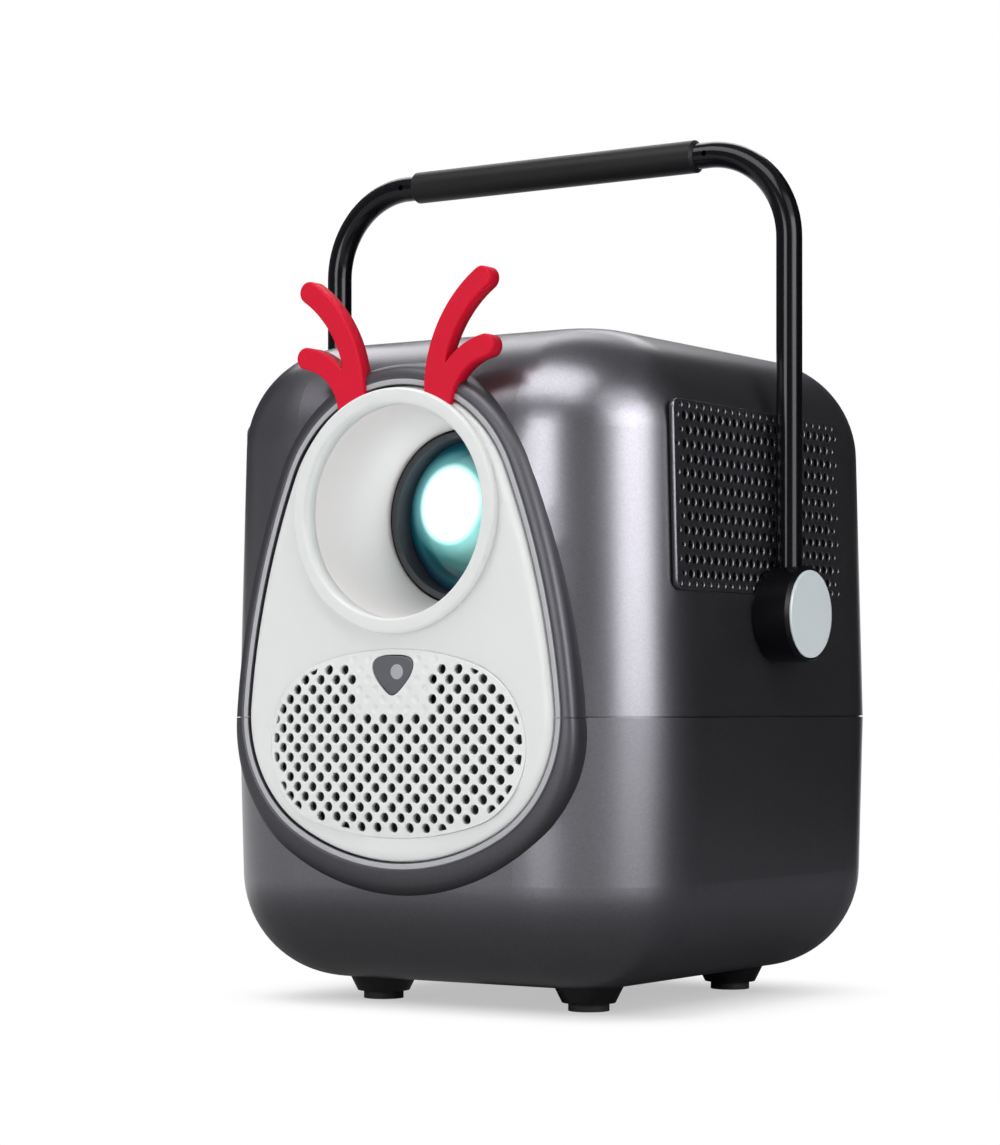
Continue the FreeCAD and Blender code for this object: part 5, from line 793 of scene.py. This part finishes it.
def lathe(name, profile, centre, axis, steps):
    """A turned piece: the closed profile gives radius and place along the axis, in millimetres."""
    axis = Vector(axis).normalized()
    side = axis.orthogonal().normalized()
    up = axis.cross(side)
    verts, faces = [], []
    for radius, along in profile:
        for a in [math.tau * i / steps for i in range(steps)]:
            out = side * math.cos(a) + up * math.sin(a)
            verts.append(Vector(centre) + axis * along + out * radius)
    for k in range(len(profile)):
        low, high = k * steps, ((k + 1) % len(profile)) * steps
        faces.extend((low + i, low + (i + 1) % steps, high + (i + 1) % steps, high + i) for i in range(steps))
    return closed_piece(name, verts, faces)


def rounded(middle, radius, start, end):
    """Points of a round about that middle, from one angle up to and with the other."""
    return [(middle[0] + radius * math.cos(a), middle[1] + radius * math.sin(a))
            for a in [math.radians(start + (end - start) * i / ROUND_STEPS) for i in range(ROUND_STEPS + 1)]]


ring_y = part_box("lens_ring")[0][1] / MM
r_in, r_out = RING_R
spigot_r, spigot_y = RING_SPIGOT
ring_profile = (rounded((r_out - RING_ROUND, RING_ROUND), RING_ROUND, 0, -90)
                + rounded((r_in + RING_ROUND, RING_ROUND), RING_ROUND, -90, -180)
                + [(r_in, spigot_y), (spigot_r, spigot_y), (spigot_r, RING_THICK), (r_out, RING_THICK)])
ring = lathe("ring_band", ring_profile, (0, ring_y, AXIS_Z), (0, 1, 0), RING_STEPS)
ring.data.materials.append(WHITE_GLOSS)
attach(ring, "case")
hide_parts("lens_ring")
finish_nodes(moulded("funnel_white", (0.76, 0.725, 0.72), 0.45, grain_mm=0.5, bump_mm=0.003, spread=0.03,
                     wander=0.04, dust=0.05), "lens_funnel")


# ---------------------------------- lens
# A black anodised barrel that moves for focus, with a coated glass element in front. The lamp behind is
# shown as a painted glow in the glass, whose rings of colour are partly coating tint and partly painted
# reflection.
# The lamp's light is painted into the glass as an emission glow.
PAINTED_GLOW_R = 22.0
PAINTED_GLOW_MIDDLE = (-7.0, 155.0)
PAINTED_GLOW_STRENGTH = 6.0
PAINTED_GLOW_STOPS = ((0.0, (0.0, 0.0, 0.0)), (0.12, (0.0, 0.006, 0.007)), (0.35, (0.02, 0.055, 0.055)),
              (0.5, (0.16, 0.24, 0.24)), (0.75, (1.0, 1.0, 1.0)))
# Ring stops: partly the coating's tint, partly painted reflection.
GLASS_R = 26.0
GLASS_TINT_AND_PAINTED_REFLECTION_STOPS = ((0.30, (0.30, 0.75, 0.70)), (0.55, (0.02, 0.22, 0.20)), (0.72, (0.01, 0.07, 0.10)),
               (0.80, (0.03, 0.16, 0.20)), (0.90, (0.01, 0.05, 0.12)), (1.0, (0.006, 0.02, 0.05)))


def ramped(tree, value, stops):
    """The colour of a ramp at that value; each stop is its place and colour."""
    ramp = node(tree, "ShaderNodeValToRGB", {"Fac": value})
    elements = ramp.color_ramp.elements
    for element, (place, colour) in zip(elements, (stops[0], stops[-1])):
        element.position, element.color = place, (*colour, 1.0)
    for place, colour in stops[1:-1]:
        elements.new(place).color = (*colour, 1.0)
    return ramp.outputs["Color"]


def glass_with_painted_glow():
    """Glass tinted in rings, partly by its coating and partly by painted reflection, with the lamp's painted glow
    off to one side.
    """
    made, tree, shader = new_material("glass_with_painted_glow", (0.05, 0.20, 0.22), 0.05)
    place = node(tree, "ShaderNodeTexCoord").outputs["Object"]
    centred = vector_maths(tree, "SUBTRACT", place, (0.0, 0.0, AXIS_Z * MM))
    flat = vector_maths(tree, "MULTIPLY", centred, (1.0, 0.0, 1.0))
    radius = vector_maths(tree, "LENGTH", flat, result="Value")
    # The point round which the painted glow of the lamp sits in the glass.
    lamp = (PAINTED_GLOW_MIDDLE[0] * MM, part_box("front_lens")[0][1], PAINTED_GLOW_MIDDLE[1] * MM)
    from_lamp = vector_maths(tree, "DISTANCE", place, lamp, result="Value")
    glow = remap(tree, from_lamp, (PAINTED_GLOW_R * MM, 0.0), easing="SMOOTHSTEP")
    feed(shader, {"IOR": 1.6, "Coat Weight": 0.5, "Coat Roughness": 0.02,
                  "Base Color": ramped(tree, remap(tree, radius, (0.0, GLASS_R * MM)), GLASS_TINT_AND_PAINTED_REFLECTION_STOPS),
                  "Emission Color": ramped(tree, glow, PAINTED_GLOW_STOPS), "Emission Strength": PAINTED_GLOW_STRENGTH})
    return made


finish_nodes(glass_with_painted_glow(), "front_lens", "lcd_panel", "fresnel_lens", "condenser_lens")
finish_nodes(moulded("barrel_black", (0.030, 0.035, 0.044), 0.40, grain_mm=0.5, bump_mm=0.002, spread=0.1,
                     wander=0.08), "lens_barrel")


# ---------------------------------- antlers
# Two flat antlers of red silicone, 5 mm thick with softened edges, each the mirror image of the other.
# Their feet are let into the lens ring.
ANTLER_W = 6.7
ANTLER_T = 5.0
ANTLER_ROLL = (0.65, 0.65)
ANTLER_BACK = 1.0
BEAM = ((14.4, 184.0), (19.4, 204.8), (31.3, 217.6))
BRANCH = ((17.2, 182.4), (22.9, 193.0), (32.4, 197.7))
ANTLER_RED = (0.66, 0.004, 0.028)
LIMB_STEPS = 24
LIMB_END_STEPS = 16
SHORTEST_SIDE = 0.02


def circle_middle(a, b, c):
    """Middle of the circle through three points."""
    d = 2 * (a.x * (b.y - c.y) + b.x * (c.y - a.y) + c.x * (a.y - b.y))
    aa, bb, cc = a.length_squared, b.length_squared, c.length_squared
    return Vector(((aa * (b.y - c.y) + bb * (c.y - a.y) + cc * (a.y - b.y)) / d,
                   (aa * (c.x - b.x) + bb * (a.x - c.x) + cc * (b.x - a.x)) / d))


def limb_loop(root, bend, tip):
    """Outline of one limb: a band along an arc, round at both ends."""
    root, bend, tip = (Vector(p) for p in (root, bend, tip))
    middle = circle_middle(root, bend, tip)
    radius = (root - middle).length
    angles = [math.degrees(math.atan2((p - middle).y, (p - middle).x)) for p in (root, tip)]
    turn = (angles[1] - angles[0] + 180) % 360 - 180
    half = ANTLER_W / 2
    ends = (angles[0], angles[0] + turn)
    way = math.copysign(1, turn)
    outline = (arc_points(middle, radius + half, ends[0], ends[1], LIMB_STEPS)
               + arc_points(tip, half, ends[1], ends[1] + way * 180, LIMB_END_STEPS)
               + arc_points(middle, radius - half, ends[1], ends[0], LIMB_STEPS)
               + arc_points(root, half, ends[0] + 180, ends[0] + 180 + way * 180, LIMB_END_STEPS))
    return outline if loop_area(outline) > 0 else outline[::-1]


def merged_loop(loops):
    """Outer outline of overlapping loops, counter-clockwise."""
    flat, triangles, _ = triangulated(loops)
    sides = {(t[i], t[(i + 1) % 3]) for t, _ in triangles for i in range(3)}
    after = {a: b for a, b in sides if (b, a) not in sides}
    start = max(after, key=lambda i: flat[i].y)
    loop, at = [start], after[start]
    while at != start:
        loop.append(at)
        at = after[at]
    points = [flat[i] for i in loop]
    kept = [p for p, q in zip(points, points[1:] + points[:1]) if (p - q).length > SHORTEST_SIDE]
    return kept if loop_area(kept) > 0 else kept[::-1]


RED_SILICONE = moulded("antler_red", ANTLER_RED, 0.5, grain_mm=0.5, bump_mm=0.003, gloss=0.1)
antler_outline = merged_loop([limb_loop(*BEAM), limb_loop(*BRANCH)])
for name, side in (("antler_left", -1), ("antler_right", 1)):
    antler = soft_panel(name + "_form", antler_outline, [], ANTLER_T, ANTLER_ROLL,
                        lambda p, d: Vector((side * p.x, ring_y + ANTLER_BACK + d, p.y)), steps=5)
    antler.data.materials.append(RED_SILICONE)
    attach(antler, "case")
    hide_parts(name)


# ---------------------------------- side vents
# Panels of perforated ABS painted with the shells and let into the side walls. Rows of round holes are
# staggered, with small pilot holes at the start of each row and along the top and bottom.
VENT_Y = (-61.0, 45.0)
VENT_Z = (126.5, 182.5)
VENT_LEAN = 0.026
VENT_WALL_X = 79.377
VENT_SINK = 0.12
VENT_SHEET = 1.55
VENT_ROUND = 3.0
VENT_PITCH = (4.36, 4.22)
VENT_INSET = 2.1
VENT_HOLE_R = 1.4
VENT_PILOT_R = 0.85
VENT_ROWS = 12
PILOT_ROW_STEP = 0.72
VENT_RIM = (0.3, 0.4)
VENT_EDGE = (0.2, 0.2)
BODY_SHIFT = 1.85


def rounded_rectangle(u, v, radius):
    """A closed counter-clockwise loop between those bounds."""
    (left, right), (low, high) = ((low + radius, high - radius) for low, high in (u, v))
    corners = (((right, low), -90), ((right, high), 0), ((left, high), 90), ((left, low), 180))
    return [Vector(p) for middle, start in corners for p in rounded(middle, radius, start, start + 90)]


def on_side(side):
    """Turns a point of the vent's drawing, along Y and up, into its place on that leaning side wall."""
    lean = math.atan(VENT_LEAN)
    middle_z = sum(VENT_Z) / 2

    def place(point, depth):
        out = -VENT_SINK - depth
        up = point.y - middle_z
        x = VENT_WALL_X + out * math.cos(lean) - up * math.sin(lean)
        z = middle_z + out * math.sin(lean) + up * math.cos(lean)
        return Vector((side * x, point.x + BODY_SHIFT, z))
    return place


vent_holes = []
first_y, last_y = VENT_Y[0] + VENT_INSET, VENT_Y[1] - VENT_INSET
first_z = sum(VENT_Z) / 2 - VENT_PITCH[1] * (VENT_ROWS - 1) / 2
for row in range(-1, VENT_ROWS + 1):
    z = first_z + row * VENT_PITCH[1]
    pilot_row = row in (-1, VENT_ROWS)
    if pilot_row:
        z -= math.copysign((1 - PILOT_ROW_STEP) * VENT_PITCH[1], row)
    start = first_y + (0.0 if row % 2 else 0.5 * VENT_PITCH[0])
    count = int((last_y - start) / VENT_PITCH[0]) + 1
    for column in range(count):
        middle = (start + column * VENT_PITCH[0], z)
        pilot = pilot_row or column in (0, count - 1)
        vent_holes.append(circle(middle, VENT_PILOT_R, 10) if pilot else circle(middle, VENT_HOLE_R, 14))
for name, side in (("side_vent_left", -1), ("side_vent_right", 1)):
    vent = soft_panel(name + "_panel", rounded_rectangle(VENT_Y, VENT_Z, VENT_ROUND), vent_holes, VENT_SHEET,
                      VENT_EDGE, on_side(side), rim=VENT_RIM, steps=2)
    vent.data.materials.append(PAINT)
    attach(vent, "case")
    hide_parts(name)


# ---------------------------------- handle
# A bent steel tube in gloss black enamel, with a soft black sleeve to hold it by. Its ends go into
# satin black hubs with pale aluminium-look caps, which turn on steel pins in brass bushings.
finish_nodes(moulded("black_enamel", (0.004, 0.004, 0.006), 0.15, grain_mm=2.0, bump_mm=0.002, spread=0.1,
                     wander=0.04, gloss=0.2), "handle_tube")
finish_nodes(moulded("grip_rubber", (0.008, 0.008, 0.009), 0.45, grain_mm=0.35, bump_mm=0.006, spread=0.12,
                     wander=0.08, dust=0.01, gloss=0.18), "handle_grip")
finish_nodes(moulded("hub_black", (0.003, 0.003, 0.004), 0.28, grain_mm=0.4, bump_mm=0.003, spread=0.1,
                     wander=0.06, gloss=0.14), "hub_left", "hub_right")
finish_nodes(moulded("cap_pale", (0.66, 0.72, 0.74), 0.34, grain_mm=0.5, bump_mm=0.003, spread=0.03),
             "hub_cap_left", "hub_cap_right")


# ---------------------------------- feet
# Four tapered feet of moulded black rubber, each with a softer pad let into its tip. A stud on each goes
# into the lower shell.
finish_nodes(moulded("foot_black", (0.012, 0.012, 0.013), 0.40, grain_mm=0.5, bump_mm=0.006, spread=0.12,
                     wander=0.08), "feet")
finish_nodes(moulded("pad_rubber", (0.016, 0.016, 0.017), 0.75, grain_mm=0.7, bump_mm=0.02, spread=0.12,
                     wander=0.08), "foot_pads")


# ---------------------------------- metal parts
# Steel pins, rods, rails and screws, brass bushings and the tripod nut, folded zinc-plated sheet, and
# the aluminium of the heat sink, the laser's slide and the lamp's carrier.
STREAK_ROUGHEN = 1.35
STREAK_SPREAD = 0.1
STREAK_HEIGHT = 0.004 * MM


def brushed_group():
    """Drawn or rolled metal: fine streaks along one axis, as a height, a roughness and a tone."""
    group, given, result = effect_group(
        "brushed", {"Scale": 1200.0, "Stretch X": 1.0, "Stretch Y": 1.0, "Stretch Z": 1.0, "Roughness": 0.3},
        ("Height", "Roughness", "Tone"))
    place = node(group, "ShaderNodeTexCoord").outputs["Object"]
    stretch = node(group, "ShaderNodeCombineXYZ", {axis: given["Stretch " + axis] for axis in "XYZ"})
    drawn = vector_maths(group, "MULTIPLY", place, stretch.outputs["Vector"])
    streaks = noise(group, drawn, given["Scale"], detail=3.0)
    high = maths(group, "MULTIPLY", given["Roughness"], STREAK_ROUGHEN)
    rough = remap(group, streaks, (0.0, 1.0), (given["Roughness"], high))
    feed(result, {"Height": streaks, "Roughness": rough, "Tone": streaks})
    return group


BRUSHED = brushed_group()


def metal(name, colour, roughness, stretch, scale=1200.0):
    """A bare metal finish whose streaks run along the axis with the small stretch."""
    made, tree, shader = new_material(name, colour, roughness, 1.0)
    values = {"Stretch " + axis: value for axis, value in zip("XYZ", stretch)}
    brushed = node(tree, "ShaderNodeGroup", {"Scale": scale, "Roughness": roughness, **values}, node_tree=BRUSHED)
    feed(shader, {"Roughness": brushed.outputs["Roughness"],
                  "Base Color": mottled(tree, brushed.outputs["Tone"], colour, STREAK_SPREAD),
                  "Normal": bumped(tree, brushed.outputs["Height"], STREAK_HEIGHT)})
    return made


finish_nodes(metal("ground_steel", (0.56, 0.57, 0.58), 0.22, (1.0, 0.05, 1.0)), "lens_guide_rods", "focus_axle",
             "sled_rods", "tray_rails", "spindle_motor", "lead_screw", "case_screws", "pivot_pins")
finish_nodes(metal("turned_brass", (0.72, 0.50, 0.20), 0.26, (1.0, 1.0, 0.1)), "pivot_bushings", "tripod_insert")
finish_nodes(metal("zinc_sheet", (0.58, 0.59, 0.60), 0.36, (0.08, 1.0, 1.0), 700.0), "drive_case", "chassis_plate",
             "usb_port", "hdmi_port")
finish_nodes(metal("mill_aluminium", (0.70, 0.71, 0.72), 0.38, (1.0, 0.06, 1.0), 900.0), "heat_sink", "led_module",
             "laser_sled")


# ---------------------------------- black mouldings
# Glass-filled nylon and ABS mouldings inside and on the back: the light engine, fan, focus thumbwheel,
# sockets, and the disc tray with its turntable.
finish_nodes(moulded("black_moulding", (0.014, 0.014, 0.015), 0.46, grain_mm=0.6, bump_mm=0.008, spread=0.15,
                     wander=0.08, dust=0.06),
             "focus_wheel", "engine_housing", "fan_frame", "fan_rotor", "audio_jack", "ac_inlet")
finish_nodes(moulded("tray_black", (0.020, 0.020, 0.022), 0.36, grain_mm=0.8, bump_mm=0.004, spread=0.12,
                     wander=0.06, dust=0.04), "disc_tray", "spindle_hub")
finish_nodes(moulded("key_silver", (0.34, 0.34, 0.35), 0.36, grain_mm=0.5, bump_mm=0.004, spread=0.06,
                     wander=0.06, dust=0.04), "power_button", "source_button", "volume_rocker", "eject_button")


# ---------------------------------- speakers and circuit boards
# Two speakers with black paper cones in pressed baskets, and green glass-fibre boards with copper tracks
# under the solder mask.
TRACK_SCALE = 140.0
TRACK_WIDTH = 0.05
TRACK_HEIGHT = 0.03 * MM

finish_nodes(moulded("speaker_cone", (0.030, 0.030, 0.033), 0.55, grain_mm=0.9, bump_mm=0.03, spread=0.2,
                     wander=0.1, dust=0.08), "speaker_left", "speaker_right")


def board_mask():
    """Green solder mask over a grid of tracks, which show as paler, slightly raised lines."""
    made, tree, shader = new_material("solder_mask", (0.010, 0.085, 0.035), 0.30)
    tracks = node(tree, "ShaderNodeTexBrick", {
        "Vector": node(tree, "ShaderNodeTexCoord").outputs["Object"], "Scale": TRACK_SCALE,
        "Mortar Size": TRACK_WIDTH, "Color1": (0.010, 0.080, 0.032, 1.0), "Color2": (0.012, 0.100, 0.042, 1.0),
        "Mortar": (0.030, 0.190, 0.080, 1.0)}).outputs
    feed(shader, {"Base Color": tracks["Color"], "Normal": bumped(tree, tracks["Fac"], TRACK_HEIGHT)})
    return made


finish_nodes(board_mask(), "main_board", "power_board", "key_board")
